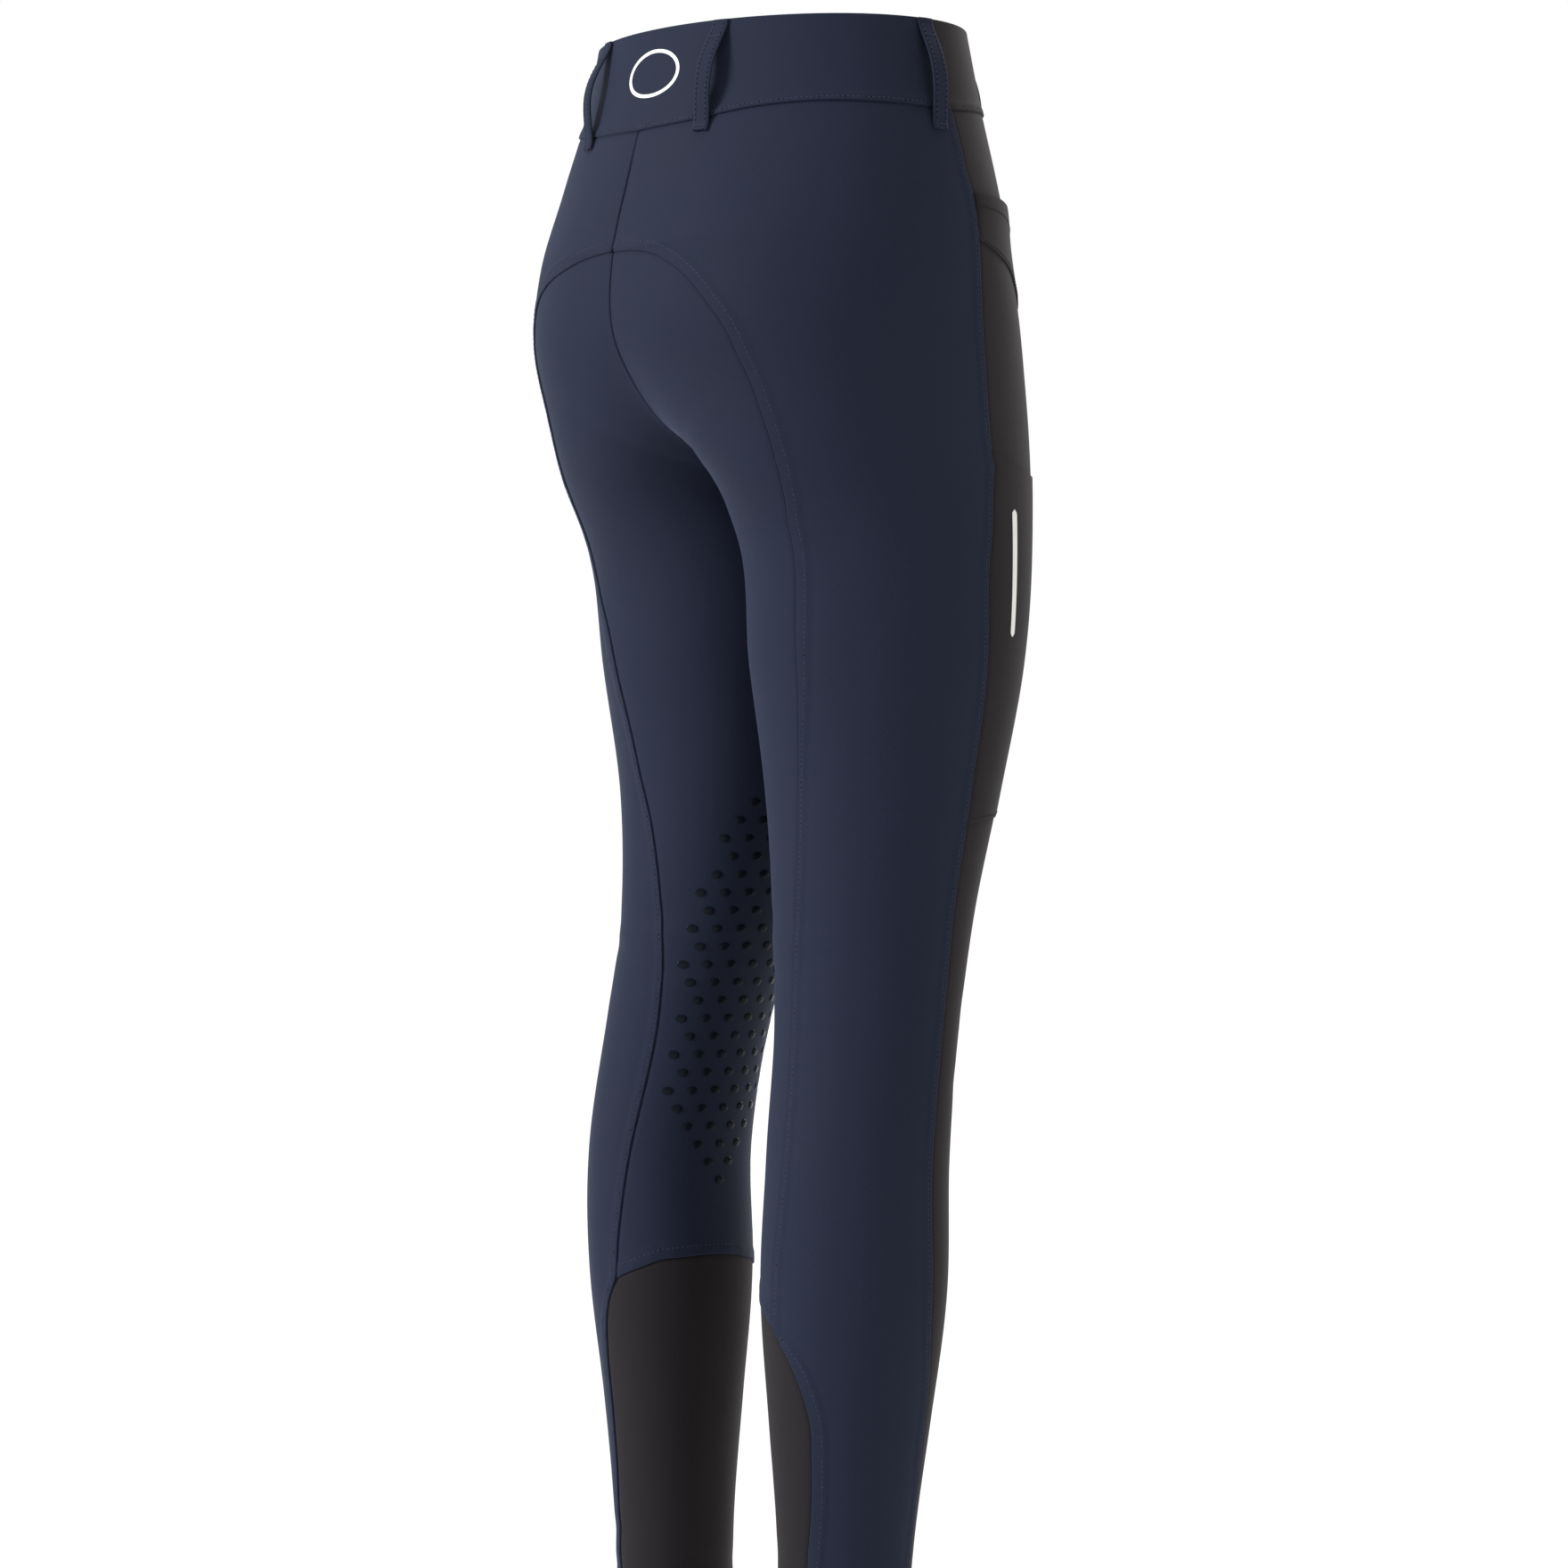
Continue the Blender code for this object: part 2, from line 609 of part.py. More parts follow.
def belt_loop(name, t, finish, mirrored):
    """A folded strip sewn down at both ends, bowed clear of the waistband between them."""
    count = 16
    points = []
    for k in range(count + 1):
        z = LOOP_TOP + (LOOP_BOTTOM - LOOP_TOP) * k / count
        share = np.clip((k / count - 0.06) / 0.88, 0, 1)
        off = LOOP_SEAT + LOOP_RISE * math.sin(math.pi * share) ** 1.2
        centre = form(t, z)
        away = normal(t, z)
        across = form(t + 0.01, z) - form(t - 0.01, z)
        across = across / np.linalg.norm(across)
        crown = LOOP_WIDTH ** 2 / 8 / 0.11
        for side, height in ((-1, 0), (1, 0), (1, LOOP_WALL), (-1, LOOP_WALL)):
            points.append(centre + across * side * LOOP_WIDTH / 2 + away * (off + height - crown * 0.2))
    faces = [(0, 1, 2, 3), tuple(4 * count + i for i in (3, 2, 1, 0))]
    for k in range(count):
        for i in range(4):
            j = (i + 1) % 4
            faces.append((4 * k + j, 4 * k + i, 4 * k + 4 + i, 4 * k + 4 + j))
    points = np.array(points)
    centre = points.mean(axis=0)
    spread = 0.0
    for face in faces:
        a, b, c = points[list(face[:3])]
        spread += np.cross(b - a, c - a) @ (a - centre)
    if (spread < 0) != mirrored:
        faces = [tuple(reversed(f)) for f in faces]
    if mirrored:
        points = points * np.array([-1.0, 1.0, 1.0])
    node(name, points, faces, finish)


def button():
    """A round button with a rounded rim, flat against the waistband."""
    t, z = BUTTON_PLACE
    centre = form(t, z)
    away = normal(t, z)
    right = np.cross(np.array([0.0, 0.0, 1.0]), away)
    right /= np.linalg.norm(right)
    up = np.cross(away, right)
    rings = [
        (BUTTON_RADIUS - 0.0007, 0.0),
        (BUTTON_RADIUS, 0.0007),
        (BUTTON_RADIUS, BUTTON_WALL - 0.0007),
        (BUTTON_RADIUS - 0.0007, BUTTON_WALL),
        (BUTTON_RADIUS - 0.0022, BUTTON_WALL - 0.0006),
    ]
    count = 24
    points = []
    for radius, height in rings:
        for k in range(count):
            angle = 2 * math.pi * k / count
            spoke = right * math.cos(angle) + up * math.sin(angle)
            points.append(centre + spoke * radius + away * (BUTTON_OFF + height))
    faces = [tuple(reversed(range(count)))]
    for ring in range(len(rings) - 1):
        for k in range(count):
            a = ring * count + k
            b = ring * count + (k + 1) % count
            faces.append((a, b, b + count, a + count))
    faces.append(tuple(range((len(rings) - 1) * count, len(rings) * count)))
    node("waist_button", points, faces, (HORN, 0.35, 0.0))


def build():
    clear_scene()
    waistband()
    for side in ("left", "right"):
        leg_panels(side)
    for place, t in LOOP_PLACES:
        colour = CHARCOAL if place == "front" else NAVY
        belt_loop("loop_" + place + "_left", t, (colour, 0.85, 0.25), False)
        belt_loop("loop_" + place + "_right", t, (colour, 0.85, 0.25), True)
    button()


build()
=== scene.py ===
"""Riding breeches, dressed: stretch cloth panels with their seams, stitches, pockets and grip dots.

Metres, +Z up, the wearer faces -Y. A place on the cloth is (t, z): t runs from 0 at the centre front
round the wearer's left side (0.5) to 1 at the centre back. Below the crotch t runs on round the leg.
"""

import math

import bmesh
import bpy
import numpy as np
from mathutils import Matrix, Vector, kdtree

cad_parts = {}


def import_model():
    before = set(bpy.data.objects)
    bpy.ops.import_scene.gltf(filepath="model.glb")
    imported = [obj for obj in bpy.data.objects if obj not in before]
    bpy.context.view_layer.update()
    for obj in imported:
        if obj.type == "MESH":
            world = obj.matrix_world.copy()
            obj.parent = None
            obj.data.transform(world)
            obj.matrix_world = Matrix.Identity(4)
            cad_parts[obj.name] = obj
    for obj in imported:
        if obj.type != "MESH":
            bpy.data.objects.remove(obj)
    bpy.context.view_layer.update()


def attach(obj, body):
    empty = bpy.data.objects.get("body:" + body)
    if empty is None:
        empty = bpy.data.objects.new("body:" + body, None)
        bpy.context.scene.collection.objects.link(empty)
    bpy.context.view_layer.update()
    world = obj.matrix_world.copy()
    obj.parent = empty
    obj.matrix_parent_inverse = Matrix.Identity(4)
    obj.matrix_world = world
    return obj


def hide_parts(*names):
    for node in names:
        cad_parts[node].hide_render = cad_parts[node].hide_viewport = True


MM = 0.001

# Cloth: wall of a panel and of the waistband, least wall at an edge, how far the waistband stands out,
# its rough height and how round its edges are.
WALL = 0.0016
BAND_WALL = 0.0024
THIN_EDGE = 0.0006
BAND_OUT = 0.0004
BAND_TALL = 0.058
BAND_ROUND = 0.0008

# Heights of the hem and the crotch, and how softly the seat rounds into its centre line.
HEM = -1.008
CROTCH = -0.270
FOLD_SOFT = 0.010
BELOW_CROTCH = CROTCH + 1e-9
SMALL_SHIFT = 0.0002

# Rough girth that one step of t is worth, for placing a seam's points evenly.
T_SCALE = 0.42

GAP = 0.0036
EDGE_STEPS = [0.0, 0.3, 0.6, 0.95, 1.4, 2.0, 2.8, 4.0, 5.6, 7.6]
SHORT_EDGE = 0.030

# Half sections in mm: height, outer side, centre of the front lobe, of the back lobe, front, back,
# height line between the lobes, how much narrower the inner curve is than the outer one, fullness of
# the curve, and the share by which depth leans sideways.
SECTIONS = [
    (12.0, 133.0, 1.0, 0.0, -94.5, 96.0, 1.0, 0.0, 2.05, 0.000),
    (-38.0, 143.5, 1.0, 0.0, -103.5, 104.5, 2.0, 0.0, 2.05, 0.000),
    (-88.0, 154.5, 1.0, 8.0, -112.0, 118.0, 2.5, 0.0, 2.10, 0.000),
    (-138.0, 162.0, 9.0, 21.5, -118.0, 130.5, 2.5, 0.0, 2.15, 0.000),
    (-188.0, 161.5, 27.5, 33.5, -123.0, 131.5, 1.5, 0.0, 2.20, 0.000),
    (-228.0, 160.0, 51.0, 54.0, -123.0, 115.0, 0.5, 2.0, 2.15, 0.000),
    (-270.0, 158.0, 70.0, 70.0, -120.5, 97.5, -5.5, 19.0, 2.08, 0.000),
    (-308.0, 158.0, 77.5, 77.5, -117.0, 77.5, -13.5, 4.0, 2.00, 0.010),
    (-388.0, 154.0, 78.0, 78.0, -107.5, 65.5, -19.0, 0.0, 2.00, 0.030),
    (-468.0, 144.5, 78.0, 78.0, -89.0, 54.5, -15.5, 0.0, 2.00, 0.048),
    (-548.0, 138.5, 82.0, 82.0, -67.5, 54.0, -6.5, 0.0, 2.00, 0.065),
    (-608.0, 141.5, 89.5, 89.5, -51.5, 59.5, 3.5, 0.0, 2.00, 0.072),
    (-688.0, 146.0, 95.0, 95.0, -39.0, 70.5, 14.0, 0.0, 2.00, 0.080),
    (-768.0, 144.5, 93.0, 93.0, -38.5, 72.5, 14.0, 0.0, 2.00, 0.090),
    (-848.0, 134.0, 90.0, 90.0, -31.0, 66.0, 14.5, 0.0, 2.00, 0.100),
    (-928.0, 124.0, 87.0, 87.0, -22.0, 59.5, 16.5, 0.0, 2.00, 0.090),
    (-1008.0, 119.0, 83.0, 83.0, -18.0, 58.5, 18.5, 0.0, 2.00, 0.080),
]
LENGTH_COLUMNS = 7  # after the height

# Seams as (t, height in mm).
BAND_LOW = [
    (0.0, -52), (0.34, -52), (0.45, -55), (0.58, -54), (0.72, -54),
    (0.80, -56), (0.90, -61), (1.0, -63),
]
BAND_SIDE = 0.47
SIDE_SEAM = [
    (0.450, -55), (0.440, -83), (0.437, -94), (0.429, -106), (0.428, -124), (0.431, -140),
    (0.435, -161), (0.437, -193), (0.435, -220), (0.438, -242), (0.443, -257), (0.450, -272),
    (0.455, -289), (0.459, -308), (0.466, -332), (0.465, -385), (0.460, -472), (0.457, -531),
    (0.450, -588), (0.451, -651), (0.454, -740), (0.444, -790), (0.422, -830), (0.417, -861),
    (0.403, -891), (0.400, -916), (0.395, -1008),
]
SEAT_ARCH = {
    "left": [
        (1.0, -138), (0.983, -138.4), (0.956, -140), (0.934, -142), (0.897, -146), (0.869, -149),
        (0.844, -153), (0.818, -159), (0.801, -167), (0.787, -183), (0.774, -205), (0.760, -228),
        (0.746, -240), (0.725, -252),
    ],
    "right": [
        (1.0, -138), (0.960, -139), (0.921, -143), (0.890, -150), (0.861, -160), (0.834, -173),
        (0.801, -192), (0.784, -208), (0.760, -229), (0.746, -240), (0.725, -252),
    ],
}
BACK_SEAM = {
    "left": [
        (0.699, -264), (0.682, -275), (0.683, -290), (0.685, -310), (0.690, -328), (0.699, -344),
        (0.715, -363), (0.725, -384), (0.731, -400), (0.738, -416), (0.743, -429), (0.754, -455),
        (0.774, -483), (0.790, -511), (0.811, -550), (0.824, -573), (0.836, -606), (0.833, -651),
        (0.819, -690), (0.803, -724), (0.790, -751), (0.785, -771),
    ],
    "right": [
        (0.699, -264), (0.682, -275), (0.687, -285), (0.692, -294), (0.698, -303), (0.701, -317),
        (0.706, -353), (0.708, -396), (0.724, -472), (0.733, -526), (0.743, -579), (0.744, -632),
        (0.744, -696), (0.754, -748), (0.760, -788),
    ],
}
SOCK_TOP = {
    "left": [
        (0.785, -771), (0.804, -768), (0.843, -763), (0.875, -759), (0.922, -757), (0.974, -756),
        (1.089, -761), (1.17, -768),
    ],
    "right": [
        (0.760, -788), (0.800, -780), (0.860, -770), (0.920, -762), (0.974, -758), (1.089, -761),
        (1.17, -768),
    ],
}
SOCK_SEAM = {
    "left": [
        (0.785, -771), (0.763, -783), (0.750, -794), (0.733, -825), (0.732, -859), (0.729, -888),
        (0.718, -922), (0.714, -953), (0.712, -1008),
    ],
    "right": [
        (0.760, -788), (0.715, -808), (0.688, -828), (0.674, -844), (0.672, -867), (0.676, -898),
        (0.689, -929), (0.700, -1008),
    ],
}
INNER_SEAM = [
    (1.0, -270), (1.03, -300), (1.07, -350), (1.12, -430), (1.15, -520), (1.17, -620),
    (1.17, -700), (1.17, -768),
]
CENTRE_FRONT = [(0.0, -52), (0.0, -120), (0.0, -200), (0.0, -270)]
CENTRE_BACK = [(1.0, -63), (1.0, -138), (1.0, -200), (1.0, -270)]
SOCK_FRONT = [(1.17, -768), (1.17, -850), (1.17, -930), (1.17, -1008)]

# Seam makes in mm. A lap's upper edge rises and rounds over; its lower edge dips over a reach, with a
# narrow groove at the seam itself. A plain seam rounds down and sinks a little over a wider reach. A
# stitch line dips in its own width, and the cloth puckers beside it.
LAP_RISE = 0.75
LAP_ROUND = 0.8
LAP_DIP = 0.35
LAP_REACH = 3.2
LAP_GROOVE = 0.35
GROOVE_WIDTH = 0.45
PLAIN_DIP = 1.3
PLAIN_ROUND = 1.6
PLAIN_SINK = 0.35
PLAIN_REACH = 6.0
STITCH_DIP = 0.24
STITCH_WIDTH = 0.7
PUCKER = 0.10

# How far the top stitching lies from each seam and hem, in mm, and inside a pocket's edges, in metres.
# Beside the seat seam it changes with height: (height, distance) in mm.
SIDE_STITCH = 3.0
INNER_STITCH = 2.2
BAND_STITCH = 2.2
SOCK_STITCH = 6.2
HEM_STITCH = 16.0
POCKET_STITCH = 0.0022
POCKET_HEM = 0.009
SEAT_STITCH = [(-1100, 6.4), (-815, 6.4), (-790, 2.4), (-440, 2.0), (-370, 6.3), (-190, 6.3), (0, 5.6)]

# Soft troughs and ridges (below and above zero): side, t, height, reach along, reach across, turn
# in degrees from level, and depth, all in mm but t.
SOFT_FOLDS = [
    ("both", 0.93, -262, 46, 9, -38, -0.7),
    ("both", 0.88, -276, 40, 8, -30, 0.3),
    ("both", 0.80, -283, 36, 9, -8, -0.3),
    ("both", 0.90, -300, 30, 10, -20, -0.3),
    ("both", 0.07, -262, 40, 8, 38, -1.4),
    ("both", 0.11, -276, 42, 8, 30, 0.8),
    ("both", 0.16, -290, 40, 9, 24, -0.8),
    ("both", 0.76, -546, 38, 8, 6, -0.9),
    ("both", 0.70, -566, 34, 7, -10, -0.8),
    ("both", 0.80, -582, 30, 7, 12, -0.7),
    ("both", 0.74, -557, 36, 6, 0, 0.5),
    ("both", 0.98, -560, 30, 8, 15, -0.5),
    ("both", 0.25, -600, 34, 9, 8, -0.6),
    ("both", 0.30, -640, 30, 9, -8, -0.5),
    ("both", 0.72, -930, 26, 7, 8, -0.7),
    ("both", 0.78, -958, 26, 6, -6, -0.7),
    ("both", 0.45, -968, 28, 6, 5, -0.6),
    ("both", 0.05, -950, 26, 6, -8, -0.7),
    ("both", 0.25, -975, 26, 6, 8, -0.6),
    ("right", 0.86, -330, 60, 12, -70, -0.8),
    ("left", 0.60, -300, 50, 12, 20, -0.5),
]

# Slow waves all over the cloth: radians a metre along x, y and z, phase, and size in mm. The right
# side is shifted, so that the two sides differ.
RIGHT_SHIFT = 2.3
SLOW_WAVES = [
    (21.0, 33.0, 14.0, 0.4, 0.26), (-37.0, 18.0, 23.0, 1.9, 0.20), (52.0, -44.0, 31.0, 3.1, 0.12),
    (71.0, 63.0, -47.0, 4.4, 0.08), (-96.0, 85.0, 66.0, 5.2, 0.05),
]

# Patches: front edge t, corner, how far the mouth stands off in mm, and edge curves as (t, height in
# mm). Then their gap to the panel, their wall, the t of their side end, how far down a mouth gapes, and how
# round their edges are.
HIP_POCKET = {
    "front": 0.195, "corner": 0.020, "mouth_rise": 2.6,
    "top": [(0.19, -112), (0.30, -108), (0.37, -106), (0.46, -106)],
    "bottom": [(0.19, -171), (0.24, -168), (0.275, -162), (0.322, -149), (0.388, -139), (0.46, -131)],
}
THIGH_POCKET = {
    "front": 0.232, "corner": 0.016, "mouth_rise": 0.1,
    "top": [
        (0.22, -274), (0.31, -273), (0.35, -272), (0.40, -269), (0.43, -264), (0.445, -259), (0.48, -250),
    ],
    "bottom": [(0.22, -472), (0.31, -477), (0.365, -481), (0.417, -483), (0.48, -487)],
}
PATCH_GAP = 0.0001
PATCH_WALL = 0.0009
PATCH_SIDE = 0.445
PATCH_GAPE = 0.017
PATCH_ROUND = 0.0004


# The fly's width in t and its lower end's height in metres.
FLY_WIDTH = 0.086
FLY_LOW = -0.205


# Belt loops: place, t at the top and at the foot, and how far the middle bows out.
LOOPS = [("back", 0.865, 0.881, 0.0085), ("side", 0.489, 0.486, 0.0065), ("front", 0.170, 0.170, 0.0050)]
LOOP_WIDTH = 0.0115
LOOP_WALL = 0.0013
LOOP_LENGTH = 0.076
LOOP_TOP = -0.0006
LOOP_BOTTOM = -0.0688
LOOP_SEAT = 0.0022
# Places across a loop, as shares of its half width, and how far each edge rounds down there in mm.
LOOP_ACROSS = [(0.0, 0.0), (0.4, 0.0), (0.7, 0.0), (0.88, 0.0), (0.96, 0.12), (1.0, 0.35)]
LOOP_RUNGS = 49


# Where the button lies, as (t, height in metres).
BUTTON_PLACE = (0.026, -0.026)

# Grip dots: rows and columns of small domes on the inner knee.
GRIP = {
    "row_gap": 0.0113, "dot_gap": 0.0165, "top": -0.461, "low": -0.712,
    "back_t": 0.862, "front_t": 1.135, "length": 0.0054, "width": 0.0074, "rise": 0.0007,
}

# Cut pieces: flat width, flat length and flat area in metres.
CUTS = {
    "front": (0.250, 0.960, 0.1190),
    "back": (0.230, 0.960, 0.1130),
    "seat": (0.220, 0.640, 0.0870),
    "sock": (0.130, 0.245, 0.0260),
    "waistband_back": (0.470, 0.075, 0.0230),
    "waistband_front": (0.175, 0.060, 0.0087),
    "hip_pocket": (0.130, 0.065, 0.0055),
    "thigh_pocket": (0.130, 0.220, 0.0240),
    "fly": (0.040, 0.155, 0.0048),
    "loop": (0.010, 0.076, 0.00074),
}

# Soft lights far away: the direction each comes from, its strength, softness and colour.
SUNS = [
    ("key", (0.34, 0.95, 0.42), 3.15, 22, (0.97, 1.0, 1.05)),
    ("top_light", (0.05, 0.0, 1.0), 0.75, 60, (1.0, 1.0, 1.0)),
    ("front_light", (0.35, -1.0, 0.55), 0.9, 40, (1.0, 0.98, 0.96)),
    ("low_fill", (-0.95, -0.10, 0.25), 0.45, 50, (1.0, 0.96, 0.91)),
]

# Camera: turn behind the wearer's right, its distance, height, side step and lens.
VIEW_TURN = math.radians(52)
VIEW_DISTANCE = 3.0
VIEW_HEIGHT = -0.461
VIEW_STEP = 0.0017
VIEW_LENS = 110.45
FLOOR = -1.11

NAVY = (0.0072, 0.0108, 0.0275, 1.0)
NAVY_WORN = (0.0108, 0.0158, 0.0385, 1.0)
CHARCOAL = (0.0088, 0.0072, 0.0096, 1.0)
CHARCOAL_WORN = (0.0126, 0.0106, 0.0134, 1.0)

TABLE = np.array(SECTIONS)[::-1].copy()
TABLE[:, :LENGTH_COLUMNS + 1] *= MM


# The form.

def curve_slopes(knots, values):
    """The slope at each knot of the smooth curve through the values, in one column or several."""
    gaps = np.diff(knots).reshape((-1,) + (1,) * (values.ndim - 1))
    slopes = np.diff(values, axis=0) / gaps
    inner = (slopes[:-1] * gaps[1:] + slopes[1:] * gaps[:-1]) / (gaps[:-1] + gaps[1:])
    return np.concatenate([slopes[:1], inner, slopes[-1:]])


def cubic(values, slopes, i, gap, s):
    """The curve between knot i and the next, at a share s of the gap between them."""
    return (
        values[i] * (1 + 2 * s) * (1 - s) ** 2
        + slopes[i] * gap * s * (1 - s) ** 2
        + values[i + 1] * s * s * (3 - 2 * s)
        + slopes[i + 1] * gap * s * s * (s - 1)
    )


def smooth_through(knots, values, place):
    """Cubic curve through the values at ascending knots."""
    gaps = np.diff(knots)
    i = np.clip(np.searchsorted(knots, place) - 1, 0, len(gaps) - 1)
    return cubic(values, curve_slopes(knots, values), i, gaps[i], (place - knots[i]) / gaps[i])


HEIGHTS = TABLE[:, 0]
MEASURES = TABLE[:, 1:]
SLOPES = curve_slopes(HEIGHTS, MEASURES)


def section(z):
    """The measures of the form's section at height z."""
    i = np.clip(np.searchsorted(HEIGHTS, z) - 1, 0, len(HEIGHTS) - 2)
    gap = (HEIGHTS[i + 1] - HEIGHTS[i])[..., None]
    s = (np.asarray(z) - HEIGHTS[i])[..., None] / gap
    return np.moveaxis(cubic(MEASURES, SLOPES, i, gap, s), -1, 0)


def seat_soft(z):
    """How softly the section rounds into the centre line: fully above the crotch, not at all below."""
    return FOLD_SOFT * np.clip((z - CROTCH) / 0.05, 0, 1)


def form(t, z):
    """The point of the form at (t, z)."""
    t = np.asarray(t, float)
    z = np.asarray(z, float)
    below = z <= BELOW_CROTCH
    flip = (~below) & ((t > 1) | (t < 0))
    t = np.where(below, t - np.floor(t), np.where(t > 1, 2 - t, np.abs(t)))
    outer, lobe_f, lobe_b, front, back, mid, thin, full, lean = section(z)
    ahead = t < 0.5
    cx = np.where(ahead, lobe_f, lobe_b)
    cx = np.where(below, (lobe_f + lobe_b) / 2, cx)
    rx = outer - cx
    ry = np.where(ahead, mid - front, back - mid)
    inner = rx - thin
    end = np.where(below, np.pi, np.arccos(-np.clip(cx / inner, 0, 1) ** (full / 2)))
    angle = end * np.abs(2 * t - 1)
    c = np.cos(angle)
    s = np.sin(angle)
    x = cx + np.where(c < 0, inner, rx) * np.sign(c) * np.abs(c) ** (2 / full)
    depth = ry * np.abs(s) ** (2 / full)
    soft = seat_soft(z)
    eased = np.sqrt(np.maximum(x, 0) ** 2 + soft ** 2)
    share = np.clip(np.abs((eased - cx) / inner), 0, 1)
    inner_depth = np.where(eased < cx, ry * (1 - share ** full) ** (1 / full), ry)
    depth = np.where((x < cx) & (~below), inner_depth, depth)
    y = mid + np.where(ahead, -depth, depth)
    x = x - lean * (y - mid)
    return np.stack([np.where(flip, -x, x), y, z], -1)


def to_side(side):
    """What turns the left side's points and directions into the named side's."""
    return np.array([-1.0 if side == "right" else 1.0, 1.0, 1.0])


def level(p, ahead):
    """Below zero inside the form, above zero outside, for the half with x above zero."""
    x = p[..., 0]
    y = p[..., 1]
    z = p[..., 2]
    outer, lobe_f, lobe_b, front, back, mid, thin, full, lean = section(z)
    below = z <= CROTCH
    cx = np.where(below, (lobe_f + lobe_b) / 2, np.where(ahead, lobe_f, lobe_b))
    rx = outer - cx
    ry = np.where(ahead, mid - front, back - mid)
    x = x + lean * (y - mid)
    soft = seat_soft(z)
    eased = np.where((x < cx) & ~below, np.sqrt(x * x + soft * soft), x)
    eased = np.where((x < cx) & ~below & (eased > cx), cx, eased)
    wide = np.where(eased < cx, rx - thin, rx)
    return np.abs((eased - cx) / wide) ** full + np.abs((y - mid) / ry) ** full - 1


def normal(t, z):
    """The outward direction at (t, z)."""
    t = np.asarray(t, float)
    z = np.asarray(z, float)
    p = form(t, z)
    below = z <= BELOW_CROTCH
    turn = (~below) & ((t > 1) | (t < 0))
    p[..., 0] = np.where(turn, -p[..., 0], p[..., 0])
    around = np.where(below, t - np.floor(t), np.where(t > 1, 2 - t, np.abs(t)))
    ahead = around < 0.5
    slope = np.zeros(p.shape)
    for k in range(3):
        shift = np.zeros(3)
        shift[k] = SMALL_SHIFT
        slope[..., k] = level(p + shift, ahead) - level(p - shift, ahead)
    on_centre = (p[..., 0] < 1e-6) | ((~below) & ((around < 1e-6) | (around > 1 - 1e-6)))
    slope[..., 0] = np.where(on_centre, 0.0, slope[..., 0])
    slope /= np.linalg.norm(slope, axis=-1, keepdims=True)
    slope[..., 0] = np.where(turn, -slope[..., 0], slope[..., 0])
    return slope


def eased_step(value, start, end):
    """From 0 at the start to 1 at the end, level at both."""
    s = np.clip((value - start) / (end - start), 0, 1)
    return s * s * (3 - 2 * s)


def girth(t, z, reach):
    """How many metres of cloth one step of t is worth at (t, z)."""
    return float(np.linalg.norm(form(t + reach, z) - form(t - reach, z)) / (2 * reach))


def fold_girths():
    """How many metres of cloth one step of t is worth at each soft fold."""
    girths = []
    for fold in SOFT_FOLDS:
        _, t0, height, _, _, _, _ = fold
        girths.append(girth(t0, height * MM, 0.01))
    return girths


FOLD_GIRTHS = fold_girths()


def relief(t, z, side):
    """How far the cloth's soft folds and slow waves stand off the form, in metres."""
    t = np.asarray(t, float)
    z = np.asarray(z, float)
    p = form(t, z)
    shift = RIGHT_SHIFT if side == "right" else 0.0
    waves = np.zeros(z.shape)
    for kx, ky, kz, phase, size in SLOW_WAVES:
        waves = waves + size * np.sin(kx * p[..., 0] + ky * p[..., 1] + kz * z + phase + shift)
    waves = waves * eased_step(-z, 0.060, 0.110)
    for wide, fold in zip(FOLD_GIRTHS, SOFT_FOLDS):
        name, t0, height, along_mm, across_mm, turn, depth = fold
        if name not in ("both", side):
            continue
        away = t - t0
        away = np.where(z <= CROTCH, away - np.round(away), away)
        x = away * wide / MM
        y = (z - height * MM) / MM
        c = math.cos(math.radians(turn))
        s = math.sin(math.radians(turn))
        reach = ((x * c + y * s) / along_mm) ** 2 + ((y * c - x * s) / across_mm) ** 2
        waves = waves + depth * np.exp(-reach)
    return waves * MM


# Rails and seams.

def end_angle(z):
    """The angle round the half section at which its inner edge is met."""
    outer, lobe_f, lobe_b, front, back, mid, thin, full, lean = section(z)
    end = np.arccos(-np.clip(lobe_b / (outer - lobe_b - thin), 0, 1) ** (full / 2))
    return np.where(np.asarray(z) <= BELOW_CROTCH, np.pi, end)


def turn_at(t, z):
    """The angle round the section at (t, z), which runs on smoothly past the crotch."""
    return end_angle(z) * (2 * t - 1)


def t_at(turn, z):
    """The t at which the section at height z is turned that far."""
    return (turn / end_angle(z) + 1) / 2


def rail(points):
    """A seam's places about a third of a mm apart: t, z and the length run."""
    knots = np.array([(t, z * MM) for t, z in points])
    gaps = np.hypot(np.diff(knots[:, 0]) * T_SCALE, np.diff(knots[:, 1]))
    run = np.concatenate([[0], np.cumsum(gaps)])
    fine = np.linspace(0, run[-1], max(40, int(run[-1] / 0.0003)))
    z = smooth_through(run, knots[:, 1], fine)
    behind = knots[:, 0].mean() > 0.5 and np.ptp(knots[:, 0]) > 0.01
    if behind:
        t = t_at(smooth_through(run, turn_at(knots[:, 0], knots[:, 1]), fine), z)
    else:
        t = smooth_through(run, knots[:, 0], fine)
    t[0], z[0] = knots[0]
    t[-1], z[-1] = knots[-1]
    length = np.linalg.norm(np.diff(form(t, z), axis=0), axis=1)
    return {"t": t, "z": z, "run": np.concatenate([[0], np.cumsum(length)])}


def cut_rail(whole, start, end):
    """The stretch of a rail between two heights in mm."""
    first, last = [int(np.argmin(np.abs(whole["z"] - stop * MM))) for stop in (start, end)]
    return {
        "t": whole["t"][first:last + 1],
        "z": whole["z"][first:last + 1],
        "run": whole["run"][first:last + 1] - whole["run"][first],
    }


